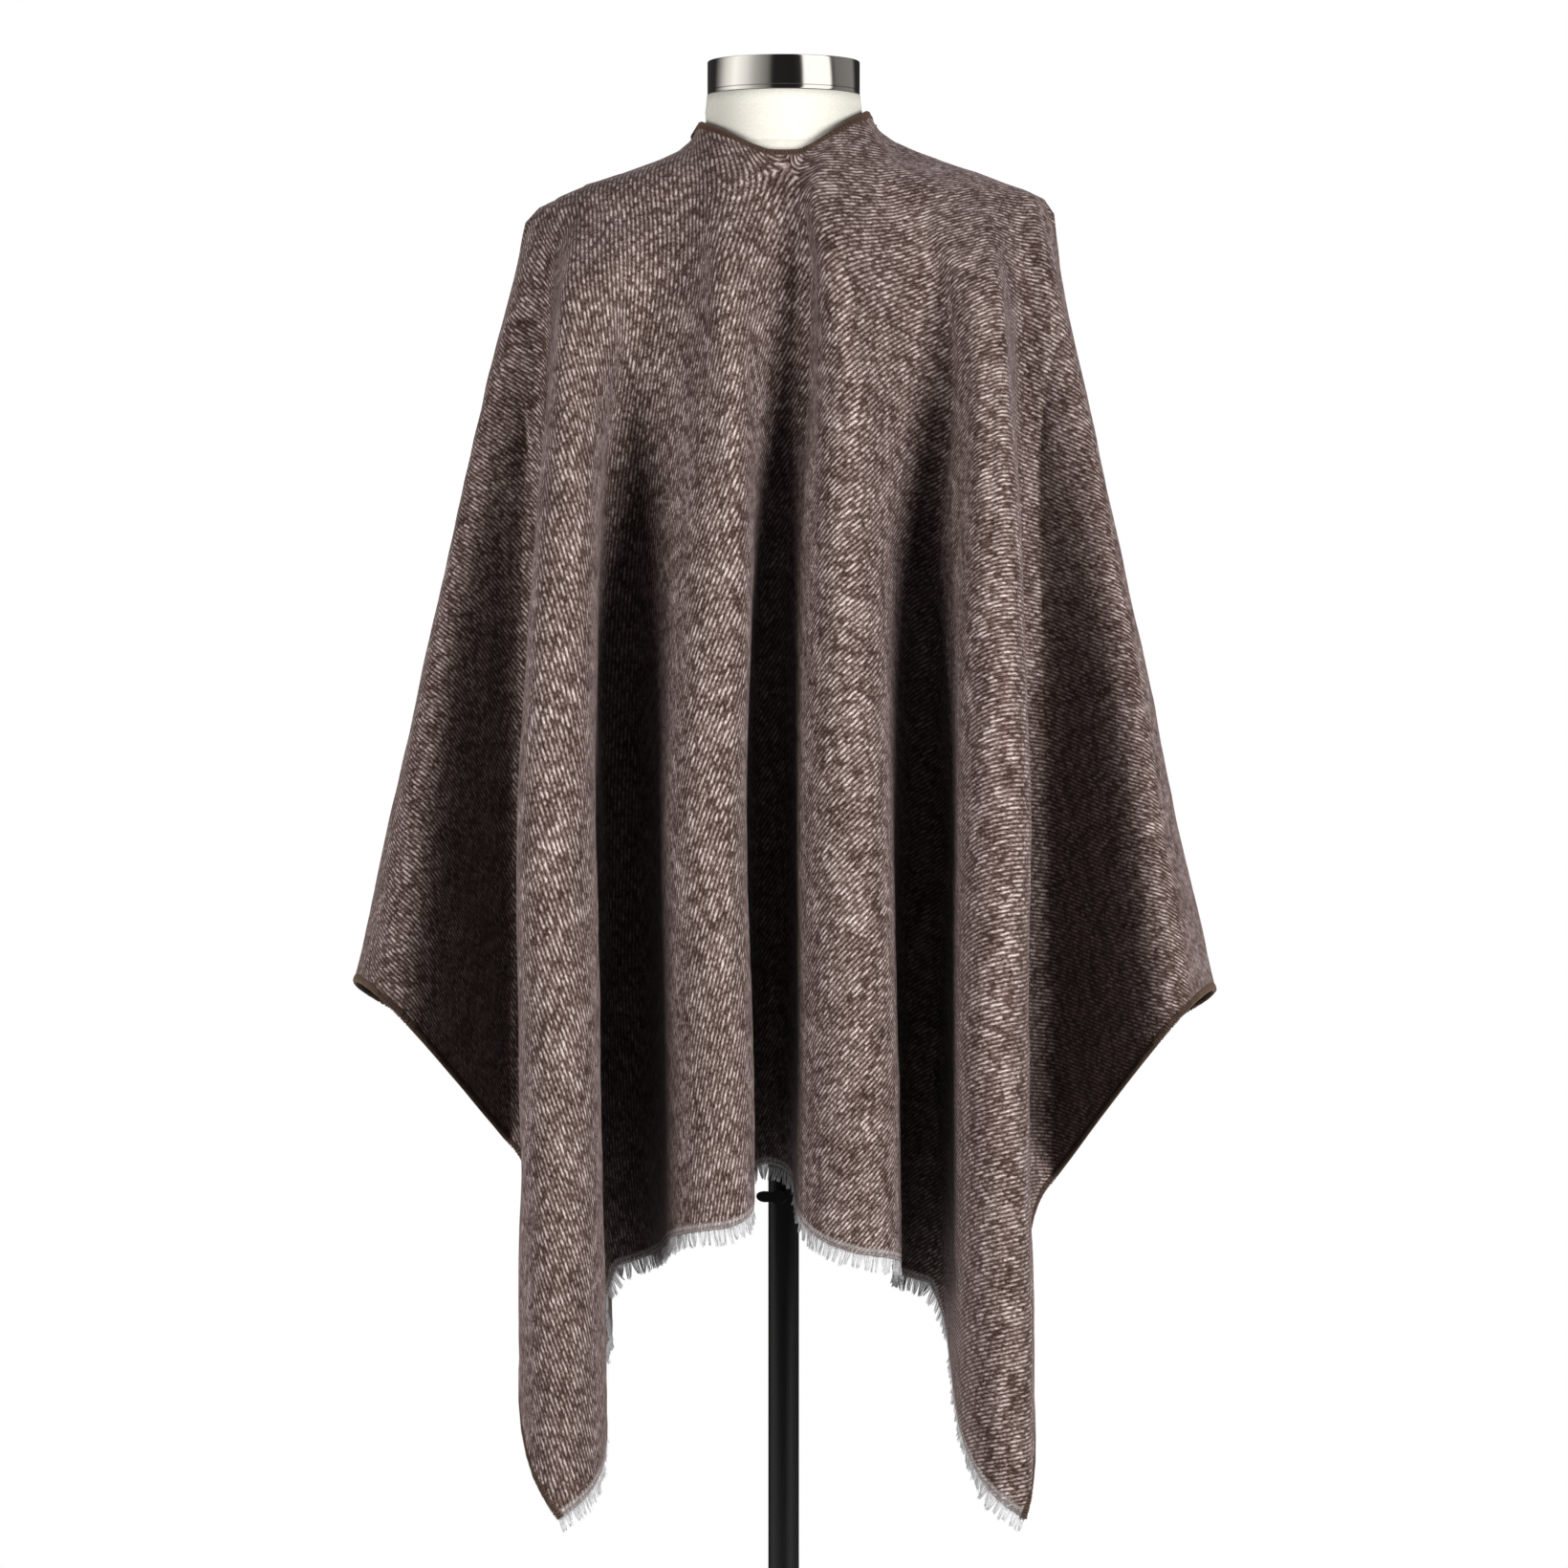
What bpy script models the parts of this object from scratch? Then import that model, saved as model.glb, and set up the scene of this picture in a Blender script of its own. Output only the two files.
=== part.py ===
# Wrap shawl (ruana) on a limbless dress form with a round-based stand.
# Metres, +Z up. The garment's back faces -Y and its open front faces +Y.
# The origin is on the floor, on the pole's axis.
import math

import bmesh
import bpy
from mathutils import Vector
from mathutils.kdtree import KDTree

# Cloth: one cut piece, with a slit from the front hem to the nape, where a short cross cut ends it
WALL = 0.0025
NAPE_HALF = 0.011
SEAM_GAP = 0.0003
FORM_CLEARANCE = 0.0038
CLEAR_STEPS = 3
SLOPE_STEP = 0.0005
END_CROWDING = 0.6
CROWDING_BLEND = 1 / 3
ROW_SHARES = (0, 0.016, 0.033, 0.052, 0.075, 0.105, 0.15, 0.21, 0.29, 0.38, 0.48, 0.58, 0.68, 0.78, 0.89, 1)
TOP_BLEND = 0.16
PATH_STEPS = 12
WELD_DISTANCE = 0.00005
SHARP_ANGLE = math.radians(40)

# Fringe: a narrow backing strip under each hem, with tapered locks
STRIP_DEPTH = 0.0030
STRIP_WALL = 0.0010
LOCK_LENGTH = 0.0110
LOCKS_PER_SPAN = 2
LOCK_SHARE = 0.62
LOCK_TIP_SHARE = 0.45

# Dress form and stand
NECK_CAP_RADIUS = 0.0557
NECK_CAP_LOW = 1.5138
NECK_CAP_TOP = 1.5385
NECK_CAP_BEVEL = 0.0012
NECK_CAP_SIDES = 48
FORM_LOW = 0.7990
FORM_SIDES = 40
FLANGE_RADIUS = 0.045
FLANGE_THICKNESS = 0.006
SWIVEL_RADIUS = 0.035
SWIVEL_THICKNESS = 0.005
ROD_RADIUS = 0.0091
ROD_LOW = 0.430
TUBE_RADIUS = 0.0112
BORE_RADIUS = 0.0095
TUBE_TOP = 0.745
BASE_RADIUS = 0.160
BASE_THICKNESS = 0.008
BASE_BEVEL = 0.002
BASE_SIDES = 64
SOCKET_RADIUS = 0.021
SOCKET_TOP = 0.032
SOCKET_BEVEL = 0.002
ROUND_SIDES = 32

# Wing screw through the tube's back wall
SCREW_Z = 0.709
SCREW_TURN = math.radians(-10)
SCREW_ROLL = math.radians(-8)
SHANK_RADIUS = 0.0030
SHANK_CLEARANCE = 0.0003
SHANK_SIDES = 12
HUB_RADIUS = 0.0055
HUB_NEAR = 0.0125
HUB_FAR = 0.0235
HUB_SIDES = 20
HUB_OVERLAP = 0.001
WING_REACH = 0.0165
WING_HEIGHT = 0.0100
WING_THICKNESS = 0.0032
WING_SIDES = 16
WING_WAIST = 0.55
WING_RISE = 0.14

# Half rows of folds, from the middle of the back, round the wing, to the front edge.
# start is where the fold begins on the neck edge or shoulder line, and lean says how it sets off:
# "over" rolls level over the shoulder, "down" falls straight from the neck edge.
# path gives its way down as (height, distance across, distance towards the front), the last one at the hem.
# heading is the section's direction at the shoulder and at the hem, in degrees, 0 outwards, 90 to the front.
# inner and outer are the section's roundness on either side, as shares of the next fold's distance,
# at the shoulder and at the hem. fall is how steeply the height changes at the start and the end of
# the way to the next fold, 1 and 1 being even. spans is the number of columns to the next fold.
FOLD_COLUMNS = ("name", "start", "lean", "path", "heading", "inner", "outer", "fall", "spans")

LEFT_FOLDS = (
    ("back_middle", (0.000, -0.0695, 1.4665), "down",
     ((1.44, -0.004, -0.086), (1.38, -0.010, -0.107), (1.30, -0.003, -0.110), (1.16, 0.009, -0.105),
      (0.98, 0.012, -0.104), (0.738, 0.012, -0.106)),
     (0, 0), (0.30, 0.24), (0.30, 0.24), (0.3, 0.9), 6),
    ("back_ridge", (0.036, -0.0570, 1.4790), "down",
     ((1.44, 0.037, -0.094), (1.38, 0.040, -0.136), (1.30, 0.041, -0.160), (1.16, 0.041, -0.198),
      (0.98, 0.048, -0.232), (0.80, 0.042, -0.242), (0.700, 0.042, -0.242)),
     (0, 0), (0.33, 0.32), (0.33, 0.36), (0.6, 1.3), 7),
    ("back_valley", (0.0600, 0.0000, 1.4930), "down",
     ((1.45, 0.068, -0.066), (1.38, 0.084, -0.104), (1.30, 0.106, -0.112), (1.16, 0.118, -0.096),
      (0.98, 0.120, -0.084), (0.80, 0.120, -0.072), (0.662, 0.120, -0.062)),
     (0, 0), (0.33, 0.32), (0.30, 0.18), (1.4, 0.7), 9),
    ("back_tail", (0.135, 0.0000, 1.4480), "over",
     ((1.38, 0.145, -0.111), (1.30, 0.150, -0.154), (1.16, 0.155, -0.210), (0.98, 0.159, -0.256),
      (0.80, 0.157, -0.276), (0.64, 0.157, -0.282), (0.502, 0.156, -0.280)),
     (0, 0), (0.33, 0.31), (0.30, 0.21), (1.0, 0.6), 6),
    ("back_wing_valley", (0.172, 0.0000, 1.4335), "over",
     ((1.38, 0.175, -0.052), (1.30, 0.182, -0.034), (1.16, 0.191, -0.008), (0.98, 0.199, 0.012),
      (0.745, 0.200, 0.018)),
     (0, 0), (0.30, 0.16), (0.18, 0.14), (0.5, 0.1), 6),
    ("wing_ridge", (0.1875, 0.0000, 1.4200), "over",
     ((1.38, 0.196, -0.004), (1.30, 0.216, -0.011), (1.16, 0.247, -0.019), (0.98, 0.286, -0.027),
      (0.867, 0.310, -0.030)),
     (90, 80), (0.60, 1.70), (0.45, 0.85), (0.2, 1.6), 6),
    ("front_wing_valley", (0.172, 0.0000, 1.4335), "over",
     ((1.38, 0.178, 0.056), (1.30, 0.188, 0.060), (1.16, 0.198, 0.062), (0.98, 0.206, 0.066),
      (0.800, 0.206, 0.066)),
     (180, 180), (0.20, 0.50), (0.33, 0.28), (0.6, 1.0), 6),
    ("front_tail", (0.135, 0.0000, 1.4480), "over",
     ((1.38, 0.148, 0.088), (1.30, 0.153, 0.118), (1.16, 0.156, 0.165), (0.98, 0.158, 0.218),
      (0.80, 0.160, 0.238), (0.64, 0.160, 0.242), (0.560, 0.160, 0.240)),
     (180, 180), (0.33, 0.23), (0.33, 0.40), (0.6, 1.2), 9),
    ("front_valley", (0.0600, 0.0000, 1.4930), "down",
     ((1.45, 0.082, 0.056), (1.38, 0.108, 0.094), (1.30, 0.118, 0.116), (1.16, 0.134, 0.098),
      (0.98, 0.138, 0.090), (0.80, 0.136, 0.082), (0.704, 0.134, 0.078)),
     (180, 180), (0.30, 0.22), (0.33, 0.28), (0.8, 0.9), 5),
    ("front_ridge", (0.0635, 0.0280, 1.4780), "down",
     ((1.44, 0.074, 0.068), (1.38, 0.088, 0.104), (1.30, 0.096, 0.133), (1.16, 0.100, 0.172),
      (0.98, 0.100, 0.206), (0.757, 0.098, 0.222)),
     (180, 180), (0.33, 0.46), (0.33, 0.42), (0.8, 1.0), 4),
    ("front_edge", (0.0645, 0.0610, 1.4500), "down",
     ((1.38, 0.067, 0.102), (1.30, 0.068, 0.135), (1.16, 0.064, 0.142), (0.98, 0.060, 0.152),
      (0.790, 0.056, 0.160)),
     (180, 180), (0.33, 0.34), (0.33, 0.34), (1.0, 1.0), 0),
)

RIGHT_FOLDS = (
    ("back_middle", (0.000, -0.0695, 1.4665), "down",
     ((1.44, 0.004, -0.086), (1.38, 0.010, -0.107), (1.30, 0.003, -0.110), (1.16, -0.009, -0.105),
      (0.98, -0.012, -0.104), (0.738, -0.012, -0.106)),
     (0, 0), (0.30, 0.24), (0.30, 0.30), (0.3, 0.9), 6),
    ("back_ridge", (0.036, -0.0570, 1.4830), "down",
     ((1.44, 0.024, -0.100), (1.38, 0.034, -0.139), (1.30, 0.042, -0.164), (1.16, 0.046, -0.200),
      (0.98, 0.049, -0.234), (0.80, 0.055, -0.244), (0.682, 0.055, -0.244)),
     (0, 0), (0.33, 0.50), (0.33, 0.33), (0.6, 1.3), 7),
    ("back_valley", (0.0605, 0.0000, 1.5010), "down",
     ((1.45, 0.080, -0.064), (1.38, 0.104, -0.103), (1.30, 0.114, -0.111), (1.16, 0.104, -0.102),
      (0.98, 0.105, -0.090), (0.80, 0.105, -0.078), (0.650, 0.105, -0.068)),
     (0, 0), (0.33, 0.33), (0.30, 0.16), (1.0, 0.8), 9),
    ("back_tail", (0.140, 0.0000, 1.4560), "over",
     ((1.38, 0.144, -0.114), (1.30, 0.150, -0.156), (1.16, 0.153, -0.208), (0.98, 0.158, -0.246),
      (0.80, 0.159, -0.260), (0.64, 0.164, -0.264), (0.500, 0.168, -0.262)),
     (0, 25), (0.33, 0.38), (0.27, 0.08), (1.0, 0.6), 6),
    ("back_wing_valley", (0.180, 0.0000, 1.4420), "over",
     ((1.38, 0.181, -0.054), (1.30, 0.183, -0.036), (1.16, 0.187, -0.010), (0.98, 0.193, 0.012),
      (0.718, 0.197, 0.018)),
     (0, 0), (0.30, 0.16), (0.18, 0.14), (0.5, 0.1), 6),
    ("wing_ridge", (0.1970, 0.0000, 1.4270), "over",
     ((1.38, 0.202, -0.004), (1.30, 0.219, -0.011), (1.16, 0.249, -0.019), (0.98, 0.286, -0.027),
      (0.861, 0.312, -0.030)),
     (90, 80), (0.60, 1.70), (0.45, 0.85), (0.2, 1.6), 6),
    ("front_wing_valley", (0.180, 0.0000, 1.4420), "over",
     ((1.38, 0.184, 0.058), (1.30, 0.190, 0.060), (1.16, 0.198, 0.062), (0.98, 0.206, 0.064),
      (0.792, 0.206, 0.064)),
     (180, 180), (0.20, 0.50), (0.33, 0.28), (0.6, 1.0), 6),
    ("front_tail", (0.140, 0.0000, 1.4560), "over",
     ((1.38, 0.150, 0.090), (1.30, 0.153, 0.116), (1.16, 0.154, 0.160), (0.98, 0.156, 0.212),
      (0.80, 0.158, 0.232), (0.64, 0.158, 0.236), (0.568, 0.158, 0.234)),
     (180, 180), (0.33, 0.23), (0.33, 0.40), (0.6, 1.2), 9),
    ("front_valley", (0.0605, 0.0000, 1.5010), "down",
     ((1.45, 0.084, 0.056), (1.38, 0.112, 0.093), (1.30, 0.122, 0.112), (1.16, 0.130, 0.098),
      (0.98, 0.132, 0.092), (0.80, 0.130, 0.084), (0.710, 0.128, 0.080)),
     (180, 180), (0.30, 0.22), (0.33, 0.28), (0.8, 0.9), 5),
    ("front_ridge", (0.0635, 0.0280, 1.4810), "down",
     ((1.44, 0.075, 0.068), (1.38, 0.090, 0.103), (1.30, 0.097, 0.130), (1.16, 0.098, 0.168),
      (0.98, 0.096, 0.200), (0.762, 0.094, 0.216)),
     (180, 180), (0.33, 0.46), (0.33, 0.42), (0.8, 1.0), 4),
    ("front_edge", (0.0645, 0.0610, 1.4500), "down",
     ((1.38, 0.068, 0.102), (1.30, 0.070, 0.134), (1.16, 0.066, 0.140), (0.98, 0.062, 0.148),
      (0.795, 0.058, 0.156)),
     (180, 180), (0.33, 0.34), (0.33, 0.34), (1.0, 1.0), 0),
)

# Shoulder line of the cloth over the form: distance across against height
LEFT_SHOULDER = ((0.0600, 1.4930), (0.0670, 1.4800), (0.0765, 1.4722), (0.0900, 1.4658), (0.1070, 1.4588),
                 (0.1240, 1.4518), (0.1430, 1.4446), (0.1620, 1.4376), (0.1780, 1.4305), (0.1875, 1.4200))
RIGHT_SHOULDER = ((0.0605, 1.5010), (0.0700, 1.4870), (0.0805, 1.4792), (0.0980, 1.4722), (0.1165, 1.4652),
                  (0.1370, 1.4582), (0.1575, 1.4512), (0.1760, 1.4442), (0.1900, 1.4372), (0.1970, 1.4270))

# Dress form sections: height, half width, depth to the back, depth to the front, squareness
FORM_SECTIONS = (
    (1.5135, 0.0560, 0.0560, 0.0560, 2.0),
    (1.5000, 0.0575, 0.0572, 0.0568, 2.0),
    (1.4870, 0.0560, 0.0585, 0.0560, 2.0),
    (1.4780, 0.0585, 0.0610, 0.0560, 2.0),
    (1.4710, 0.0660, 0.0642, 0.0565, 2.0),
    (1.4630, 0.0830, 0.0685, 0.0580, 2.0),
    (1.4540, 0.1080, 0.0725, 0.0620, 2.1),
    (1.4450, 0.1350, 0.0765, 0.0665, 2.2),
    (1.4360, 0.1560, 0.0805, 0.0705, 2.3),
    (1.4260, 0.1720, 0.0845, 0.0750, 2.3),
    (1.4100, 0.1805, 0.0910, 0.0815, 2.4),
    (1.3800, 0.1830, 0.0970, 0.0900, 2.4),
    (1.3400, 0.1780, 0.1010, 0.1010, 2.4),
    (1.3000, 0.1690, 0.1030, 0.1130, 2.4),
    (1.2500, 0.1600, 0.1010, 0.1220, 2.4),
    (1.2000, 0.1490, 0.0940, 0.1140, 2.4),
    (1.1500, 0.1370, 0.0860, 0.0980, 2.4),
    (1.1000, 0.1290, 0.0820, 0.0880, 2.4),
    (1.0500, 0.1370, 0.0860, 0.0880, 2.4),
    (1.0000, 0.1530, 0.0930, 0.0890, 2.4),
    (0.9400, 0.1660, 0.0980, 0.0880, 2.4),
    (0.8800, 0.1670, 0.0960, 0.0860, 2.4),
    (0.8300, 0.1600, 0.0900, 0.0820, 2.4),
    (0.7990, 0.1500, 0.0840, 0.0780, 2.4),
)

# Colours: base colour, metallic, roughness
FINISHES = {
    "brown_twill": ((0.155, 0.110, 0.098), 0.0, 0.95),
    "pale_fringe": ((0.60, 0.58, 0.58), 0.0, 0.95),
    "cream_linen": ((0.86, 0.82, 0.74), 0.0, 0.85),
    "brushed_steel": ((0.62, 0.60, 0.58), 1.0, 0.32),
    "black_paint": ((0.012, 0.012, 0.013), 0.0, 0.45),
}


def clear_scene():
    for old in list(bpy.data.objects):
        bpy.data.objects.remove(old)


def finish(name):
    found = bpy.data.materials.get(name)
    if found:
        return found
    colour, metallic, roughness = FINISHES[name]
    made = bpy.data.materials.new(name)
    made.use_nodes = True
    shader = made.node_tree.nodes["Principled BSDF"]
    shader.inputs["Base Color"].default_value = (*colour, 1)
    shader.inputs["Metallic"].default_value = metallic
    shader.inputs["Roughness"].default_value = roughness
    return made


def place(name, bm, finish_name, smooth=True):
    bmesh.ops.recalc_face_normals(bm, faces=bm.faces)
    mesh = bpy.data.meshes.new(name)
    bm.to_mesh(mesh)
    bm.free()
    if smooth:
        mesh.shade_smooth()
        mesh.set_sharp_from_angle(angle=SHARP_ANGLE)
    mesh.materials.append(finish(finish_name))
    made = bpy.data.objects.new(name, mesh)
    bpy.context.scene.collection.objects.link(made)
    return made


def between(table, key, column):
    """A table's column at key, by straight lines. The first column may rise or fall."""
    rows = table if table[0][0] < table[-1][0] else table[::-1]
    if key <= rows[0][0]:
        return rows[0][column]
    for low, high in zip(rows, rows[1:]):
        if key <= high[0]:
            share = (key - low[0]) / (high[0] - low[0])
            return low[column] + (high[column] - low[column]) * share
    return rows[-1][column]


def hermite(p, q, leave, arrive, t):
    return (p * (2 * t ** 3 - 3 * t ** 2 + 1) + leave * (t ** 3 - 2 * t ** 2 + t)
            + q * (3 * t ** 2 - 2 * t ** 3) + arrive * (t ** 3 - t ** 2))


def bezier(a, b, c, d, t):
    k = 1 - t
    return a * k ** 3 + b * (3 * k * k * t) + c * (3 * k * t * t) + d * t ** 3


def crowded(share, low):
    """Towards the hem, columns stand closer together at the folds, where the section bends most."""
    pull = (1 - math.cos(math.pi * share)) / 2 - share
    return share + pull * END_CROWDING * smooth_share(low / CROWDING_BLEND)


def eased(share, leave, arrive):
    """A share from 0 to 1 that sets off and arrives with the given steepness."""
    return (leave * (share ** 3 - 2 * share ** 2 + share) + 3 * share ** 2 - 2 * share ** 3
            + arrive * (share ** 3 - share ** 2))


def smooth_share(t):
    t = max(0.0, min(1.0, t))
    return t * t * (3 - 2 * t)


def fold_line(fold, side):
    """The fold's way down as one smooth line, cut at the row shares of its length."""
    stops = [Vector((side * fold["start"][0], fold["start"][1], fold["start"][2]))]
    stops += [Vector((side * across, front, height)) for height, across, front in fold["path"]]
    count = len(stops)
    slopes = [(stops[min(i + 1, count - 1)] - stops[max(i - 1, 0)]) / 2 for i in range(count)]
    reach = (stops[1] - stops[0]).length
    if fold["lean"] == "over":
        level = stops[1] - stops[0]
        level.z = 0
        slopes[0] = level.normalized() * reach if fold["name"] != "wing_ridge" else stops[1] - stops[0]
    else:
        slopes[0] = stops[1] - stops[0]
    slopes[-1] = stops[-1] - stops[-2]
    fine = []
    for i in range(count - 1):
        span = (stops[i + 1] - stops[i]).length
        leave = slopes[i] * (span / max(slopes[i].length, 1e-9))
        arrive = slopes[i + 1] * (span / max(slopes[i + 1].length, 1e-9))
        fine += [hermite(stops[i], stops[i + 1], leave, arrive, k / PATH_STEPS) for k in range(PATH_STEPS)]
    fine.append(stops[-1])
    run = [0.0]
    for p, q in zip(fine, fine[1:]):
        run.append(run[-1] + (q - p).length)
    table = [(run[i], fine[i].x, fine[i].y, fine[i].z) for i in range(len(fine))]
    total = run[-1]
    return [Vector([between(table, share * total, k) for k in (1, 2, 3)]) for share in ROW_SHARES]


def mixed(pair, low):
    """Between a value at the shoulder and one at the hem."""
    return pair[0] + (pair[1] - pair[0]) * low


def direction(degrees, side):
    turn = math.radians(degrees)
    return Vector((side * math.cos(turn), math.sin(turn), 0))


def form_ratio(point):
    """How far out a point is, as a share of the dress form's own surface there."""
    wide = between(FORM_SECTIONS, point.z, 1)
    deep = between(FORM_SECTIONS, point.z, 2 if point.y < 0 else 3)
    square = between(FORM_SECTIONS, point.z, 4)
    return (abs(point.x / wide) ** square + abs(point.y / deep) ** square) ** (1 / square)


def clear_of_form(point):
    """Moves a point of the cloth straight out until it clears the dress form."""
    if not FORM_SECTIONS[-1][0] <= point.z <= FORM_SECTIONS[0][0]:
        return point
    for _ in range(CLEAR_STEPS):
        here = form_ratio(point)
        slope = Vector([(form_ratio(point + axis * SLOPE_STEP) - here) / SLOPE_STEP
                        for axis in (Vector((1, 0, 0)), Vector((0, 1, 0)), Vector((0, 0, 1)))])
        short = FORM_CLEARANCE - (here - 1) / slope.length
        if short <= 0:
            return point
        point = point + slope.normalized() * short
    return point


def top_edge(folds, side, shoulder):
    """The cloth's upper edge: neck edge, shoulder line, and back, one point for each column."""
    points = []
    for fold, after in zip(folds, folds[1:]):
        start, stop = Vector(fold["start"]), Vector(after["start"])
        for k in range(fold["spans"]):
            share = k / fold["spans"]
            point = start.lerp(stop, share)
            if abs(start.y) < 1e-6 and abs(stop.y) < 1e-6:
                point.z = between(shoulder, point.x, 1)
            else:
                flat = Vector((point.x, point.y, 0))
                radius = Vector((start.x, start.y, 0)).length * (1 - share)
                radius += Vector((stop.x, stop.y, 0)).length * share
                if fold["name"] == "back_middle":
                    rise = max(0, (point.x - NAPE_HALF) / (stop.x - NAPE_HALF))
                    point.z = start.z + (stop.z - start.z) * rise
                if fold["name"] == "back_ridge":
                    point.z = start.z + (stop.z - start.z) * math.sin(math.pi / 2 * share)
                if fold["name"] == "front_valley":
                    point.z = start.z + (stop.z - start.z) * (1 - math.cos(math.pi / 2 * share))
                point.x, point.y = (flat.normalized() * radius).xy
            points.append(Vector((side * point.x, point.y, point.z)))
    last = folds[-1]["start"]
    points.append(Vector((side * last[0], last[1], last[2])))
    return points


def half_cloth(rows, side, shoulder):
    """Columns of points from the middle of the back to the front edge."""
    folds = [dict(zip(FOLD_COLUMNS, row)) for row in rows]
    lines = [fold_line(fold, side) for fold in folds]
    edge = top_edge(folds, side, shoulder)
    columns = []
    for i, fold in enumerate(folds):
        spans = max(fold["spans"], 1)
        after = min(i + 1, len(folds) - 1)
        for k in range(spans):
            column = []
            for row, low in enumerate(ROW_SHARES):
                share = crowded(k / spans, low)
                a, d = lines[i][row], lines[after][row]
                chord = Vector((d.x - a.x, d.y - a.y, 0)).length
                out = mixed(fold["outer"], low) * chord
                into = mixed(folds[after]["inner"], low) * chord
                b = a + direction(mixed(fold["heading"], low), side) * out
                c = d - direction(mixed(folds[after]["heading"], low), side) * into
                point = bezier(a, b, c, d, share)
                point.z = a.z + (d.z - a.z) * eased(share, *fold["fall"])
                column.append(point)
            columns.append(column)
    for column, top in zip(columns, edge):
        shift = top - column[0]
        for row, low in enumerate(ROW_SHARES):
            column[row] = column[row] + shift * (1 - smooth_share(low / TOP_BLEND))
            column[row] = clear_of_form(column[row])
    return columns


def cloth_columns():
    left = half_cloth(LEFT_FOLDS, -1, LEFT_SHOULDER)
    right = half_cloth(RIGHT_FOLDS, 1, RIGHT_SHOULDER)
    return left, right


def make_cloth(left, right):
    bm = bmesh.new()
    for columns in (left, right):
        grid = [[bm.verts.new(point) for point in column] for column in columns]
        for one, other in zip(grid, grid[1:]):
            for row in range(len(ROW_SHARES) - 1):
                bm.faces.new((one[row], one[row + 1], other[row + 1], other[row]))
    bmesh.ops.remove_doubles(bm, verts=bm.verts, dist=WELD_DISTANCE)
    cloth = place("wrap_cloth", bm, "brown_twill")
    wall = cloth.modifiers.new("wall", "SOLIDIFY")
    wall.thickness = WALL
    wall.offset = 0
    wall.use_even_offset = False
    wall.use_rim = True
    return cloth


def hem_normals(cloth, columns):
    """Which way the wall faces at the hem of each column."""
    tree = KDTree(len(cloth.data.vertices))
    for vertex in cloth.data.vertices:
        tree.insert(vertex.co, vertex.index)
    tree.balance()
    return [cloth.data.vertices[tree.find(column[-1])[1]].normal.copy() for column in columns]


def hem_sections(cloth, columns, marks):
    """Places along a hem: the hem point, the way it falls, the wall's facing and the gap to leave there.
    The gap widens where a slanting hem turns, because the wall's flat rim is twisted there."""
    normals = hem_normals(cloth, columns)
    falls = [(column[-1] - column[-2]).normalized() for column in columns]
    twists = []
    for i in range(len(columns) - 1):
        along = (columns[i + 1][-1] - columns[i][-1]).normalized()
        twists.append((normals[i] - normals[i + 1]).length * abs(along.dot(falls[i])) * STRIP_WALL)
    sections = []
    for i in range(len(columns) - 1):
        for share in marks:
            hem = columns[i][-1].lerp(columns[i + 1][-1], share)
            fall = falls[i].lerp(falls[i + 1], share).normalized()
            normal = normals[i].lerp(normals[i + 1], share)
            sections.append((hem, fall, normal, SEAM_GAP + max(twists[max(i - 1, 0):i + 2])))
    sections.append((columns[-1][-1], falls[-1], normals[-1], SEAM_GAP + twists[-1]))
    return sections


def make_fringe(name, cloth, columns):
    """A backing strip under the hem of these columns, and locks that hang from it."""
    bm = bmesh.new()
    marks = [0.0]
    for k in range(LOCKS_PER_SPAN):
        middle = (k + 0.5) / LOCKS_PER_SPAN
        half = LOCK_SHARE / LOCKS_PER_SPAN / 2
        marks += [middle - half, middle + half]
    sections = hem_sections(cloth, columns, marks)
    rings = []
    for hem, fall, normal, gap in sections:
        high = hem + fall * gap
        low = hem + fall * (gap + STRIP_DEPTH)
        half = normal * (STRIP_WALL / 2)
        rings.append([bm.verts.new(p) for p in (high + half, low + half, low - half, high - half)])
    per_span = len(marks)
    for i in range(len(rings) - 1):
        one, other = rings[i], rings[i + 1]
        place_in_span = i % per_span
        for k in range(4):
            if k == 1 and place_in_span % 2 == 1:
                continue
            bm.faces.new((one[k], one[(k + 1) % 4], other[(k + 1) % 4], other[k]))
        if place_in_span % 2 == 1:
            roots = (one[1], one[2], other[2], other[1])
            centre = sum((v.co for v in roots), Vector()) / 4
            fall = (sections[i][1] + sections[i + 1][1]).normalized()
            tips = []
            for v in roots:
                spread = (v.co - centre) * LOCK_TIP_SHARE
                tips.append(bm.verts.new(centre + spread + fall * LOCK_LENGTH))
            for k in range(4):
                bm.faces.new((roots[k], roots[(k + 1) % 4], tips[(k + 1) % 4], tips[k]))
            bm.faces.new(tips)
    bm.faces.new(rings[0])
    bm.faces.new(rings[-1])
    return place(name, bm, "pale_fringe", smooth=False)


def fold_start(rows, name):
    """The column at which a named fold begins."""
    column = 0
    for row in rows:
        fold = dict(zip(FOLD_COLUMNS, row))
        if fold["name"] == name:
            return column
        column += fold["spans"]
    return column


def make_form():
    bm = bmesh.new()
    rings = []
    for height, wide, back, front, square in FORM_SECTIONS:
        ring = []
        for k in range(FORM_SIDES):
            turn = 2 * math.pi * k / FORM_SIDES
            c, s = math.cos(turn), math.sin(turn)
            deep = back if s < 0 else front
            x = wide * math.copysign(abs(c) ** (2 / square), c)
            y = deep * math.copysign(abs(s) ** (2 / square), s)
            ring.append(bm.verts.new((x, y, height)))
        rings.append(ring)
    for one, other in zip(rings, rings[1:]):
        for k in range(FORM_SIDES):
            n = (k + 1) % FORM_SIDES
            bm.faces.new((one[k], other[k], other[n], one[n]))
    bm.faces.new(rings[0])
    bm.faces.new(rings[-1])
    return place("torso", bm, "cream_linen")


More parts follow.
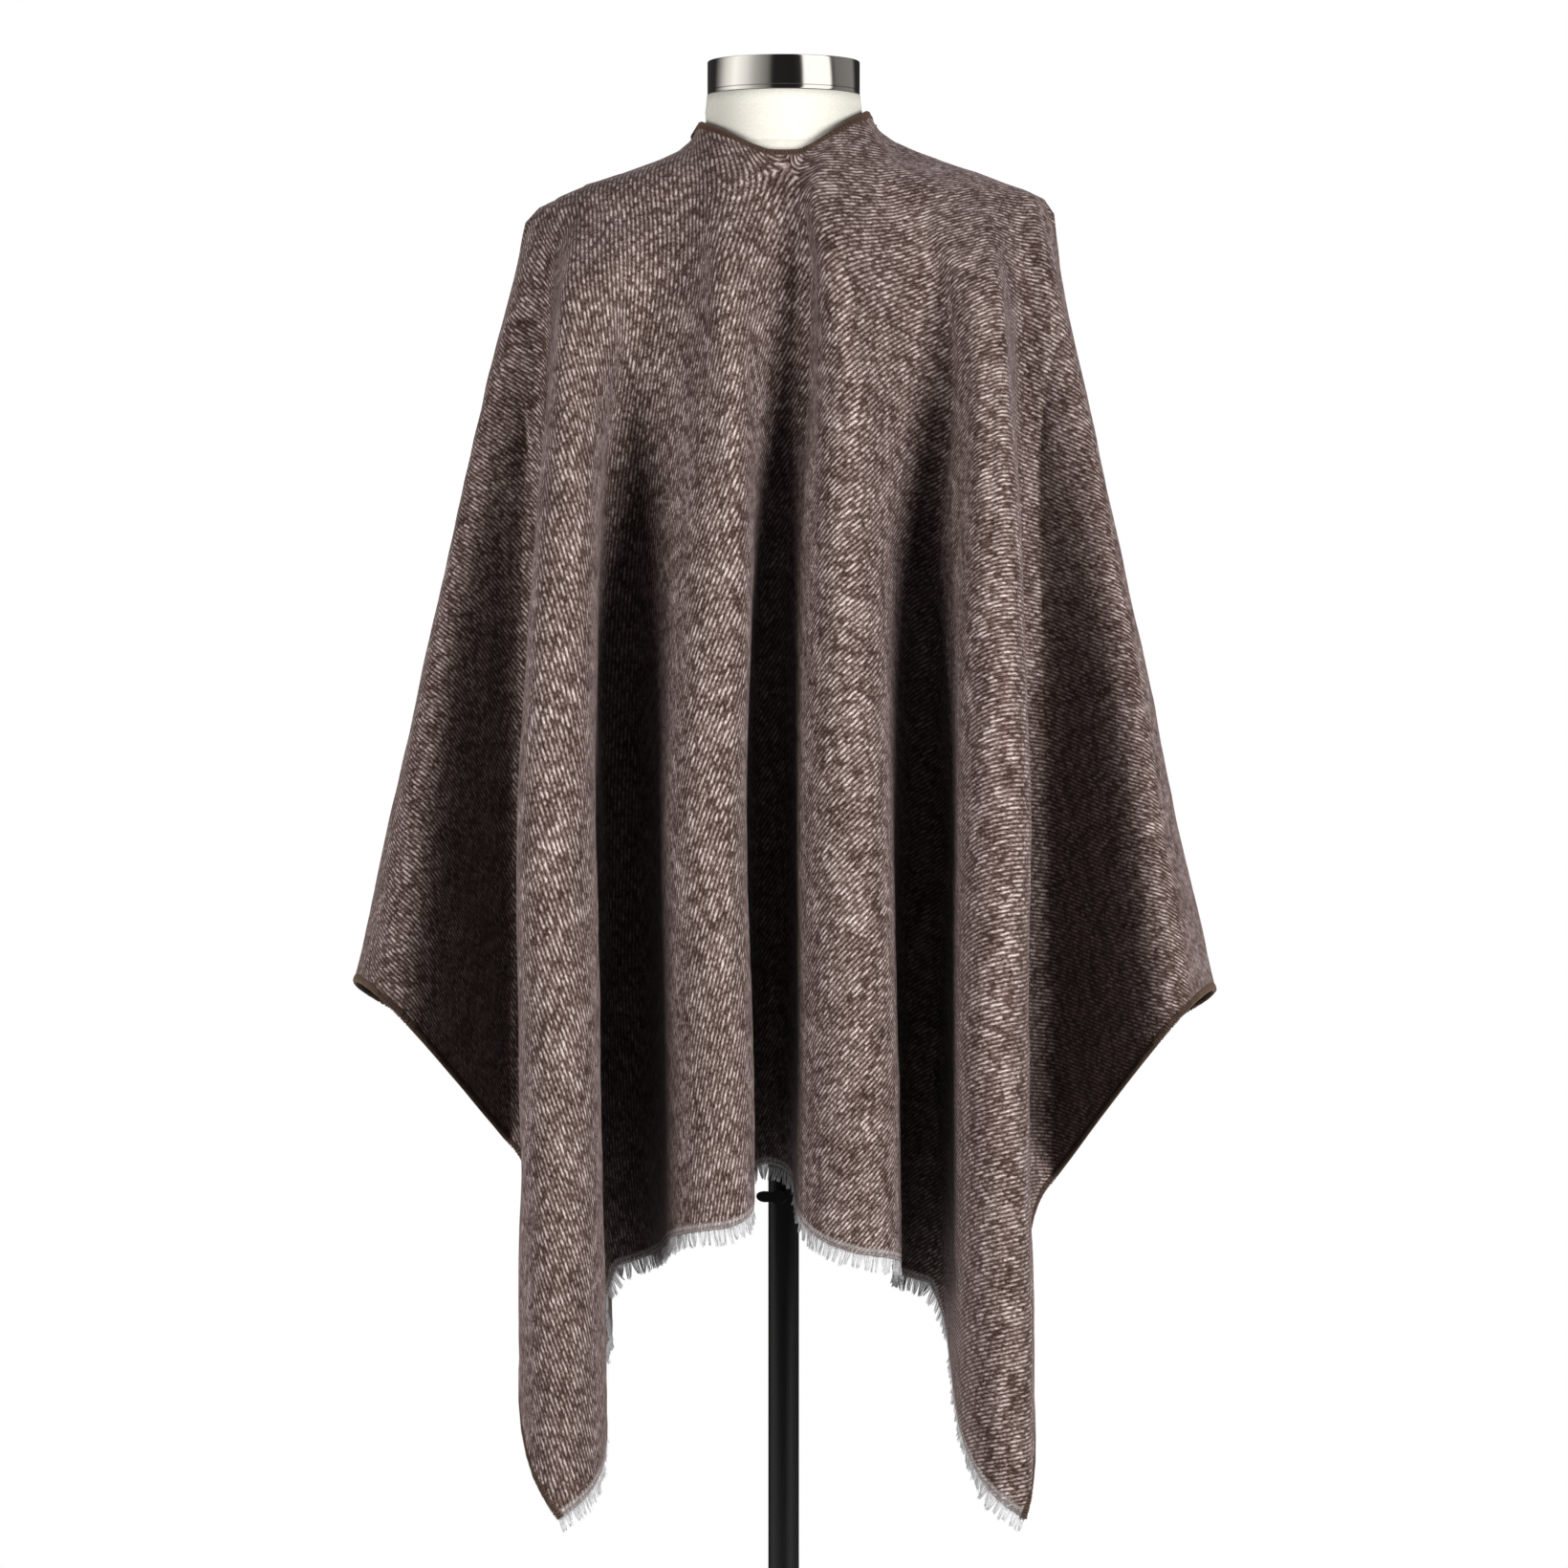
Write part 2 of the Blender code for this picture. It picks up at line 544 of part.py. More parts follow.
def turned(name, profile, finish_name, sides=ROUND_SIDES):
    """A closed profile of (radius, height) points turned about the pole's axis."""
    bm = bmesh.new()
    rings = []
    for radius, height in profile:
        if radius == 0:
            rings.append([bm.verts.new((0, 0, height))])
            continue
        turns = [2 * math.pi * k / sides for k in range(sides)]
        rings.append([bm.verts.new((radius * math.cos(t), radius * math.sin(t), height)) for t in turns])
    closed = profile[0][0] > 0
    pairs = list(zip(rings, rings[1:] + rings[:1])) if closed else list(zip(rings, rings[1:]))
    for one, other in pairs:
        for k in range(sides):
            n = (k + 1) % sides
            corners = []
            for v in (one[k % len(one)], other[k % len(other)], other[n % len(other)], one[n % len(one)]):
                if v not in corners:
                    corners.append(v)
            bm.faces.new(corners)
    return place(name, bm, finish_name)


def make_neck_cap():
    r, b = NECK_CAP_RADIUS, NECK_CAP_BEVEL
    profile = ((0, NECK_CAP_LOW), (r - b, NECK_CAP_LOW), (r, NECK_CAP_LOW + b), (r, NECK_CAP_TOP - b),
               (r - b, NECK_CAP_TOP), (0, NECK_CAP_TOP))
    return turned("neck_cap", profile, "brushed_steel", NECK_CAP_SIDES)


def make_stand():
    flange_top = FORM_LOW - SEAM_GAP
    flange_low = flange_top - FLANGE_THICKNESS
    swivel_top = flange_low - SEAM_GAP
    swivel_low = swivel_top - SWIVEL_THICKNESS
    turned("form_flange", ((0, flange_low), (FLANGE_RADIUS, flange_low), (FLANGE_RADIUS, flange_top),
                           (0, flange_top)), "black_paint")
    turned("inner_rod", ((0, ROD_LOW), (ROD_RADIUS, ROD_LOW), (ROD_RADIUS, swivel_low),
                         (SWIVEL_RADIUS, swivel_low), (SWIVEL_RADIUS, swivel_top), (0, swivel_top)),
           "brushed_steel")
    tube_low = BASE_THICKNESS + SEAM_GAP
    tube = turned("outer_tube", ((BORE_RADIUS, tube_low), (TUBE_RADIUS, tube_low), (TUBE_RADIUS, TUBE_TOP),
                                 (BORE_RADIUS, TUBE_TOP)), "black_paint")
    cutter = screw_cutter()
    hole = tube.modifiers.new("screw_hole", "BOOLEAN")
    hole.operation = "DIFFERENCE"
    hole.solver = "EXACT"
    hole.object = cutter
    socket_bore = TUBE_RADIUS + SEAM_GAP
    r, b = SOCKET_RADIUS, SOCKET_BEVEL
    profile = ((socket_bore, tube_low), (r, tube_low), (r, SOCKET_TOP - b), (r - b, SOCKET_TOP),
               (socket_bore, SOCKET_TOP))
    turned("base_socket", profile, "black_paint")
    r, b, t = BASE_RADIUS, BASE_BEVEL, BASE_THICKNESS
    profile = ((0, 0), (r - b, 0), (r, b), (r, t - b), (r - b, t), (0, t))
    turned("base_plate", profile, "black_paint", BASE_SIDES)


def screw_axis():
    """The wing screw's outward direction, nearly straight back."""
    return Vector((math.sin(SCREW_TURN), -math.cos(SCREW_TURN), 0))


def rod_along(bm, near, far, radius, sides):
    """A closed cylinder along the screw's axis, between two distances from the pole's axis."""
    axis = screw_axis()
    level = Vector((axis.y, -axis.x, 0))
    rings = []
    for distance in (near, far):
        ring = []
        for k in range(sides):
            turn = 2 * math.pi * k / sides
            offset = level * (radius * math.cos(turn)) + Vector((0, 0, radius * math.sin(turn)))
            ring.append(bm.verts.new(axis * distance + offset + Vector((0, 0, SCREW_Z))))
        rings.append(ring)
    for k in range(sides):
        n = (k + 1) % sides
        bm.faces.new((rings[0][k], rings[1][k], rings[1][n], rings[0][n]))
    bm.faces.new(rings[0])
    bm.faces.new(rings[1])


def screw_cutter():
    bm = bmesh.new()
    rod_along(bm, BORE_RADIUS / 2, TUBE_RADIUS * 2, SHANK_RADIUS + SHANK_CLEARANCE, SHANK_SIDES)
    cutter = place("screw_hole_cutter", bm, "black_paint")
    cutter.hide_render = True
    cutter.display_type = "WIRE"
    return cutter


def make_wing_screw():
    """Shank, hub and two wings, joined into one solid."""
    axis = screw_axis()
    level = Vector((axis.y, -axis.x, 0))
    up = Vector((0, 0, 1))
    across = level * math.cos(SCREW_ROLL) + up * math.sin(SCREW_ROLL)
    upright = up * math.cos(SCREW_ROLL) - level * math.sin(SCREW_ROLL)
    bm = bmesh.new()
    rod_along(bm, ROD_RADIUS + SEAM_GAP, HUB_NEAR + HUB_OVERLAP, SHANK_RADIUS, SHANK_SIDES)
    shank = place("wing_screw", bm, "black_paint")
    bm = bmesh.new()
    rod_along(bm, HUB_NEAR, HUB_FAR, HUB_RADIUS, HUB_SIDES)
    parts = [place("screw_hub", bm, "black_paint")]
    middle = axis * ((HUB_NEAR + HUB_FAR) / 2 + HUB_OVERLAP) + up * SCREW_Z
    for way in (-1, 1):
        bm = bmesh.new()
        rings = []
        for depth in (-WING_THICKNESS / 2, WING_THICKNESS / 2):
            ring = []
            for k in range(WING_SIDES):
                turn = 2 * math.pi * k / WING_SIDES
                reach = way * (WING_REACH / 2 + WING_REACH / 2 * math.cos(turn))
                widening = WING_WAIST + (1 - WING_WAIST) * abs(reach) / WING_REACH
                height = WING_HEIGHT / 2 * math.sin(turn) * widening
                offset = across * reach + upright * (height + WING_RISE * abs(reach)) + axis * depth
                ring.append(bm.verts.new(middle + offset))
            rings.append(ring)
        for k in range(WING_SIDES):
            n = (k + 1) % WING_SIDES
            bm.faces.new((rings[0][k], rings[1][k], rings[1][n], rings[0][n]))
        bm.faces.new(rings[0])
        bm.faces.new(rings[1])
        parts.append(place("screw_wing", bm, "black_paint"))
    for part in parts:
        part.hide_render = True
        part.display_type = "WIRE"
        join = shank.modifiers.new("join", "BOOLEAN")
        join.operation = "UNION"
        join.solver = "EXACT"
        join.object = part
    return shank


def main():
    clear_scene()
    left, right = cloth_columns()
    cloth = make_cloth(left, right)
    tail = fold_start(LEFT_FOLDS, "back_tail")
    back = left[tail:0:-1] + right[:fold_start(RIGHT_FOLDS, "back_tail") + 1]
    make_fringe("fringe_back", cloth, back)
    make_fringe("fringe_front_left", cloth, left[fold_start(LEFT_FOLDS, "front_tail"):])
    make_fringe("fringe_front_right", cloth, right[fold_start(RIGHT_FOLDS, "front_tail"):][::-1])
    make_form()
    make_neck_cap()
    make_stand()
    make_wing_screw()


main()
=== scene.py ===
import math
import random

import bmesh
import bpy
import numpy as np
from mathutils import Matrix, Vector, noise
from mathutils.kdtree import KDTree


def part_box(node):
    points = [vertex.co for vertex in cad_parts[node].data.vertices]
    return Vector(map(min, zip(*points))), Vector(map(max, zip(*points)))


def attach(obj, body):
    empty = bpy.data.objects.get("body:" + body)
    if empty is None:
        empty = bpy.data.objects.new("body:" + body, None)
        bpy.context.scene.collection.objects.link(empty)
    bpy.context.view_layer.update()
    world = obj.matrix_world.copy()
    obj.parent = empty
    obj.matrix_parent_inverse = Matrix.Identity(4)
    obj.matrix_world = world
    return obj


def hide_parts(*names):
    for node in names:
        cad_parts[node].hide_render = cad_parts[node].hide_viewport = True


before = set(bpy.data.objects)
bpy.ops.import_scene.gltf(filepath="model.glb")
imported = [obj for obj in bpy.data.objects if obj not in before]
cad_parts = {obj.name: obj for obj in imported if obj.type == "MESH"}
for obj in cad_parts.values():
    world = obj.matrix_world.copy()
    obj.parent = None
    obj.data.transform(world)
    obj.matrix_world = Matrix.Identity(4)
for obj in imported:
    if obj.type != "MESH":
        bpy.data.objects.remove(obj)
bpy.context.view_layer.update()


# Base plate and socket: a round steel plate with a turned socket welded on, both sprayed satin black.
# The plate carries the whole form; its paint has a fine orange peel and is a little dusty.

def add(tree, kind, inputs=None, **settings):
    """One shader node with its settings. Each input is set to a value or joined to another node's output."""
    made = tree.nodes.new(kind)
    for key, value in settings.items():
        setattr(made, key, value)
    for key, value in (inputs or {}).items():
        if isinstance(value, bpy.types.NodeSocket):
            tree.links.new(value, made.inputs[key])
        else:
            made.inputs[key].default_value = value
    return made


def finish(name, colour, roughness, metallic=0.0):
    """A named surface finish, with its node tree and its shader."""
    made = bpy.data.materials.new(name)
    made.use_nodes = True
    shader = made.node_tree.nodes["Principled BSDF"]
    shader.inputs["Base Color"].default_value = (*colour, 1)
    shader.inputs["Roughness"].default_value = roughness
    shader.inputs["Metallic"].default_value = metallic
    return made, made.node_tree, shader


def join(tree, socket, shader, name):
    tree.links.new(socket, shader.inputs[name])


def coloured(tree, factor, stops):
    """A colour ramp with (place, colour) stops."""
    ramp = add(tree, "ShaderNodeValToRGB", {"Fac": factor})
    for place, colour in stops[1:-1]:
        ramp.color_ramp.elements.new(place).color = (*colour, 1)
    for element, (place, colour) in ((ramp.color_ramp.elements[0], stops[0]),
                                     (ramp.color_ramp.elements[-1], stops[-1])):
        element.position = place
        element.color = (*colour, 1)
    return ramp.outputs["Color"]


def repaint(node, paint):
    """Gives a carried-over node a better finish."""
    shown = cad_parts[node]
    for held in shown.material_slots:
        held.material = paint


black_paint, tree, shader = finish("black_paint", (0.0060, 0.0060, 0.0063), 0.42)
peel = add(tree, "ShaderNodeTexNoise", {"Scale": 900.0, "Detail": 3.0})
dust = add(tree, "ShaderNodeTexNoise", {"Scale": 38.0, "Detail": 6.0, "Roughness": 0.65})
join(tree, coloured(tree, dust.outputs["Fac"], ((0.42, (0.0052, 0.0052, 0.0055)),
                                                (0.66, (0.0085, 0.0084, 0.0086)))),
     shader, "Base Color")
rough = add(tree, "ShaderNodeMapRange", {"Value": dust.outputs["Fac"], "To Min": 0.34, "To Max": 0.52})
join(tree, rough.outputs["Result"], shader, "Roughness")
bump = add(tree, "ShaderNodeBump", {"Height": peel.outputs["Fac"], "Strength": 0.10, "Distance": 0.0004})
join(tree, bump.outputs["Normal"], shader, "Normal")
repaint("base_plate", black_paint)
repaint("base_socket", black_paint)


# Pole: a black painted tube pressed into the socket, and inside it a bare steel rod that slides up and
# down. The rod ends in the plate on which the form turns.
repaint("outer_tube", black_paint)
repaint("form_flange", black_paint)

brushed_steel, tree, shader = finish("brushed_steel", (0.66, 0.64, 0.61), 0.26, 1.0)
grain_place = add(tree, "ShaderNodeTexCoord")
grain_stretch = add(tree, "ShaderNodeMapping", {"Vector": grain_place.outputs["Object"],
                                                "Scale": (14.0, 14.0, 2600.0)})
grain = add(tree, "ShaderNodeTexNoise", {"Vector": grain_stretch.outputs["Vector"], "Scale": 1.0,
                                         "Detail": 4.0})
steel_rough = add(tree, "ShaderNodeMapRange", {"Value": grain.outputs["Fac"], "To Min": 0.09, "To Max": 0.17})
join(tree, steel_rough.outputs["Result"], shader, "Roughness")
grain_bump = add(tree, "ShaderNodeBump", {"Height": grain.outputs["Fac"], "Strength": 0.06,
                                          "Distance": 0.0002})
join(tree, grain_bump.outputs["Normal"], shader, "Normal")
repaint("inner_rod", brushed_steel)


# Wing screw: a cast black screw with two wings, turned by hand to clamp the rod at its height.
repaint("wing_screw", black_paint)


# Dress form: a padded body without limbs, covered in cream linen that is stretched and sewn at the
# centre back, the sides and the princess seams. A collar seam closes the cover under the neck cap.
FORM_SECTIONS = (  # height, half width, depth to the back, depth to the front, squareness
    (1.5135, 0.0560, 0.0560, 0.0560, 2.0),
    (1.5000, 0.0575, 0.0572, 0.0568, 2.0),
    (1.4870, 0.0560, 0.0585, 0.0560, 2.0),
    (1.4780, 0.0585, 0.0610, 0.0560, 2.0),
    (1.4710, 0.0660, 0.0642, 0.0565, 2.0),
    (1.4630, 0.0830, 0.0685, 0.0580, 2.0),
    (1.4540, 0.1080, 0.0725, 0.0620, 2.1),
    (1.4450, 0.1350, 0.0765, 0.0665, 2.2),
    (1.4360, 0.1560, 0.0805, 0.0705, 2.3),
    (1.4260, 0.1720, 0.0845, 0.0750, 2.3),
    (1.4100, 0.1805, 0.0910, 0.0815, 2.4),
    (1.3800, 0.1830, 0.0970, 0.0900, 2.4),
    (1.3400, 0.1780, 0.1010, 0.1010, 2.4),
    (1.3000, 0.1690, 0.1030, 0.1130, 2.4),
    (1.2500, 0.1600, 0.1010, 0.1220, 2.4),
    (1.2000, 0.1490, 0.0940, 0.1140, 2.4),
    (1.1500, 0.1370, 0.0860, 0.0980, 2.4),
    (1.1000, 0.1290, 0.0820, 0.0880, 2.4),
    (1.0500, 0.1370, 0.0860, 0.0880, 2.4),
    (1.0000, 0.1530, 0.0930, 0.0890, 2.4),
    (0.9400, 0.1660, 0.0980, 0.0880, 2.4),
    (0.8800, 0.1670, 0.0960, 0.0860, 2.4),
    (0.8300, 0.1600, 0.0900, 0.0820, 2.4),
    (0.7990, 0.1500, 0.0840, 0.0780, 2.4),
)
FORM_SIDES = 192
FORM_ROW_STEP = 0.0050
FORM_ROUNDING = 0.0040
SEAM_TURNS = (-90, 90, 0, 180, -128, -52, 55, 125)
SEAM_DEPTH = 0.0007
SEAM_HALF = 0.0016
COLLAR_SEAM = 1.4765


def between(table, key, column):
    """A table's column at key, by straight lines. The first column may rise or fall."""
    rows = table if table[0][0] < table[-1][0] else table[::-1]
    if key <= rows[0][0]:
        return rows[0][column]
    for low, high in zip(rows, rows[1:]):
        if key <= high[0]:
            share = (key - low[0]) / (high[0] - low[0])
            return low[column] + (high[column] - low[column]) * share
    return rows[-1][column]


def form_point(turn, height):
    """The cover's surface at a turn about the pole's axis, sunk at the seams."""
    wide, back, front, square = (between(FORM_SECTIONS, height, k) for k in (1, 2, 3, 4))
    c, s = math.cos(turn), math.sin(turn)
    deep = back if s < 0 else front
    x = wide * math.copysign(abs(c) ** (2 / square), c)
    y = deep * math.copysign(abs(s) ** (2 / square), s)
    round_length = (wide + deep) / 2
    sunk = math.exp(-((height - COLLAR_SEAM) / SEAM_HALF) ** 2)
    for seam in SEAM_TURNS:
        away = (turn - math.radians(seam) + math.pi) % (2 * math.pi) - math.pi
        if height < COLLAR_SEAM:
            sunk = max(sunk, math.exp(-(away * round_length / SEAM_HALF) ** 2))
    rounding = FORM_ROUNDING * max(0.0, 1 - (height - FORM_SECTIONS[-1][0]) / FORM_ROUNDING) ** 2
    keep = 1 - (SEAM_DEPTH * sunk + rounding) / max(math.hypot(x, y), 0.01)
    return Vector((x * keep, y * keep, height))


def placed(name, bm, paint, body, smooth=True):
    """Makes an object of the mesh and lets it ride on its body."""
    mesh = bpy.data.meshes.new(name)
    bm.to_mesh(mesh)
    bm.free()
    if smooth:
        mesh.shade_smooth()
    mesh.materials.append(paint)
    made = bpy.data.objects.new(name, mesh)
    bpy.context.scene.collection.objects.link(made)
    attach(made, body)
    return made


cream_linen, tree, shader = finish("cream_linen", (0.465, 0.452, 0.415), 0.85)
linen_place = add(tree, "ShaderNodeTexCoord")
threads = []
for stretch in ((2200.0, 2200.0, 260.0), (260.0, 260.0, 2200.0)):
    run = add(tree, "ShaderNodeMapping", {"Vector": linen_place.outputs["Object"], "Scale": stretch})
    threads.append(add(tree, "ShaderNodeTexNoise", {"Vector": run.outputs["Vector"], "Scale": 1.0,
                                                    "Detail": 2.0}))
linen = add(tree, "ShaderNodeMath", {0: threads[0].outputs["Fac"], 1: threads[1].outputs["Fac"]},
            operation="MAXIMUM")
join(tree, coloured(tree, linen.outputs["Value"], ((0.40, (0.43, 0.416, 0.376)),
                                                   (0.56, (0.465, 0.452, 0.415)),
                                                   (0.70, (0.49, 0.478, 0.445)))), shader, "Base Color")
linen_bump = add(tree, "ShaderNodeBump", {"Height": linen.outputs["Value"], "Strength": 0.22,
                                          "Distance": 0.0003})
join(tree, linen_bump.outputs["Normal"], shader, "Normal")
shader.inputs["Sheen Weight"].default_value = 0.12
shader.inputs["Sheen Roughness"].default_value = 0.5

form_low, form_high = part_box("torso")
bm = bmesh.new()
heights = []
height = form_low.z
while height < form_high.z - FORM_ROW_STEP / 2:
    heights.append(height)
    near_seam = abs(height - COLLAR_SEAM) < 3 * SEAM_HALF or height - form_low.z < FORM_ROUNDING
    height += FORM_ROW_STEP / (6 if near_seam else 1)
heights.append(form_high.z)
form_turns = [2 * math.pi * k / FORM_SIDES for k in range(FORM_SIDES)]
rings = [[bm.verts.new(form_point(turn, z)) for turn in form_turns] for z in heights]
for one, other in zip(rings, rings[1:]):
    for k in range(FORM_SIDES):
        n = (k + 1) % FORM_SIDES
        bm.faces.new((one[k], one[n], other[n], other[k]))
bm.faces.new(rings[0][::-1])
bm.faces.new(rings[-1])
form_cover = placed("form_cover", bm, cream_linen, "form")
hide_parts("torso")


# Neck cap: a turned steel disc, brushed round its edge, that closes the neck of the form. A fine
# groove runs round it near its lower edge.
CAP_EDGE = 0.0009
CAP_GROOVE_UP = 0.0030
CAP_GROOVE = 0.0004
CAP_SIDES = 160


def turned(profile, sides):
    """A profile of (radius, height) points turned about the pole's axis, closed at both ends."""
    made = bmesh.new()
    turns = [2 * math.pi * k / sides for k in range(sides)]
    around = [[made.verts.new((r * math.cos(t), r * math.sin(t), z)) for t in turns] for r, z in profile]
    for one, other in zip(around, around[1:]):
        for k in range(sides):
            n = (k + 1) % sides
            made.faces.new((one[k], one[n], other[n], other[k]))
    made.faces.new(around[0][::-1])
    made.faces.new(around[-1])
    return made


cap_low, cap_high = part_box("neck_cap")
cap_radius = (cap_high.x - cap_low.x) / 2
groove = cap_low.z + CAP_GROOVE_UP
cap_profile = [(cap_radius - CAP_EDGE, cap_low.z), (cap_radius - CAP_EDGE * 0.3, cap_low.z + CAP_EDGE * 0.3),
               (cap_radius, cap_low.z + CAP_EDGE), (cap_radius, groove - CAP_GROOVE),
               (cap_radius - CAP_GROOVE, groove), (cap_radius, groove + CAP_GROOVE),
               (cap_radius, cap_high.z - CAP_EDGE),
               (cap_radius - CAP_EDGE * 0.3, cap_high.z - CAP_EDGE * 0.3),
               (cap_radius - CAP_EDGE, cap_high.z), (cap_radius * 0.5, cap_high.z)]
steel_cap = placed("steel_cap", turned(cap_profile, CAP_SIDES), brushed_steel, "form",
                   smooth=False)
for face in steel_cap.data.polygons:
    face.use_smooth = abs(face.normal.z) < 0.9
steel_cap.data.set_sharp_from_angle(angle=math.radians(32))
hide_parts("neck_cap")


# Wrap: one rectangle of brushed twill, slit from the middle of its front hem to the nape, hung over the
# form's shoulders. Half rows of folds give its drape, from the middle of the back round to the front edge.
# start is where the fold begins on the neck edge or shoulder line, and lean says how it sets off:
# "over" rolls level over the shoulder, "down" falls straight from the neck edge.
# path gives its way down as (height, distance across, distance towards the front), the last one at the hem.
# heading is the section's direction at the shoulder and at the hem, in degrees,
# 0 outwards and 90 to the front.
# inner and outer are the section's roundness on either side, as shares of the next fold's distance,
# at the shoulder and at the hem. fall is how steeply the height changes at the start and the end of
# the way to the next fold, 1 and 1 being even. spans is the number of columns to the next fold.
# cut gives the fold's two ends in the flat cloth, as metres across from the middle and down the back.
FOLD_COLUMNS = ("name", "start", "lean", "path", "heading", "inner", "outer", "fall", "spans")
LEFT_FOLDS = (
    ("back_middle", (0.000, -0.0695, 1.4665), "down",
     ((1.44, -0.004, -0.086), (1.38, -0.010, -0.107), (1.30, -0.003, -0.110), (1.16, 0.009, -0.105),
      (0.98, 0.012, -0.104), (0.738, 0.012, -0.106)),
     (0, 0), (0.30, 0.24), (0.30, 0.24), (0.3, 0.9), 6),
    ("back_ridge", (0.036, -0.0570, 1.4790), "down",
     ((1.44, 0.037, -0.094), (1.38, 0.040, -0.136), (1.30, 0.041, -0.160), (1.16, 0.041, -0.198),
      (0.98, 0.048, -0.232), (0.80, 0.042, -0.242), (0.700, 0.042, -0.242)),
     (0, 0), (0.33, 0.32), (0.33, 0.36), (0.6, 1.3), 7),
    ("back_valley", (0.0600, 0.0000, 1.4930), "down",
     ((1.45, 0.068, -0.066), (1.38, 0.084, -0.104), (1.30, 0.106, -0.112), (1.16, 0.118, -0.096),
      (0.98, 0.120, -0.084), (0.80, 0.120, -0.072), (0.662, 0.120, -0.062)),
     (0, 0), (0.33, 0.32), (0.30, 0.18), (1.4, 0.7), 9),
    ("back_tail", (0.135, 0.0000, 1.4480), "over",
     ((1.38, 0.145, -0.111), (1.30, 0.150, -0.154), (1.16, 0.155, -0.210), (0.98, 0.159, -0.256),
      (0.80, 0.157, -0.276), (0.64, 0.157, -0.282), (0.502, 0.156, -0.280)),
     (0, 0), (0.33, 0.31), (0.30, 0.21), (1.0, 0.6), 6),
    ("back_wing_valley", (0.172, 0.0000, 1.4335), "over",
     ((1.38, 0.175, -0.052), (1.30, 0.182, -0.034), (1.16, 0.191, -0.008), (0.98, 0.199, 0.012),
      (0.745, 0.200, 0.018)),
     (0, 0), (0.30, 0.16), (0.18, 0.14), (0.5, 0.1), 6),
    ("wing_ridge", (0.1875, 0.0000, 1.4200), "over",
     ((1.38, 0.196, -0.004), (1.30, 0.216, -0.011), (1.16, 0.247, -0.019), (0.98, 0.286, -0.027),
      (0.867, 0.310, -0.030)),
     (90, 80), (0.60, 1.70), (0.45, 0.85), (0.2, 1.6), 6),
    ("front_wing_valley", (0.172, 0.0000, 1.4335), "over",
     ((1.38, 0.178, 0.056), (1.30, 0.188, 0.060), (1.16, 0.198, 0.062), (0.98, 0.206, 0.066),
      (0.800, 0.206, 0.066)),
     (180, 180), (0.20, 0.50), (0.33, 0.28), (0.6, 1.0), 6),
    ("front_tail", (0.135, 0.0000, 1.4480), "over",
     ((1.38, 0.148, 0.088), (1.30, 0.153, 0.118), (1.16, 0.156, 0.165), (0.98, 0.158, 0.218),
      (0.80, 0.160, 0.238), (0.64, 0.160, 0.242), (0.560, 0.160, 0.240)),
     (180, 180), (0.33, 0.23), (0.33, 0.40), (0.6, 1.2), 9),
    ("front_valley", (0.0600, 0.0000, 1.4930), "down",
     ((1.45, 0.082, 0.056), (1.38, 0.108, 0.094), (1.30, 0.118, 0.116), (1.16, 0.134, 0.098),
      (0.98, 0.138, 0.090), (0.80, 0.136, 0.082), (0.704, 0.134, 0.078)),
     (180, 180), (0.30, 0.22), (0.33, 0.28), (0.8, 0.9), 5),
    ("front_ridge", (0.0635, 0.0280, 1.4780), "down",
     ((1.44, 0.074, 0.068), (1.38, 0.088, 0.104), (1.30, 0.096, 0.133), (1.16, 0.100, 0.172),
      (0.98, 0.100, 0.206), (0.757, 0.098, 0.222)),
     (180, 180), (0.33, 0.46), (0.33, 0.42), (0.8, 1.0), 4),
    ("front_edge", (0.0645, 0.0610, 1.4500), "down",
     ((1.38, 0.067, 0.102), (1.30, 0.068, 0.135), (1.16, 0.064, 0.142), (0.98, 0.060, 0.152),
      (0.790, 0.056, 0.160)),
     (180, 180), (0.33, 0.34), (0.33, 0.34), (1.0, 1.0), 0),
)

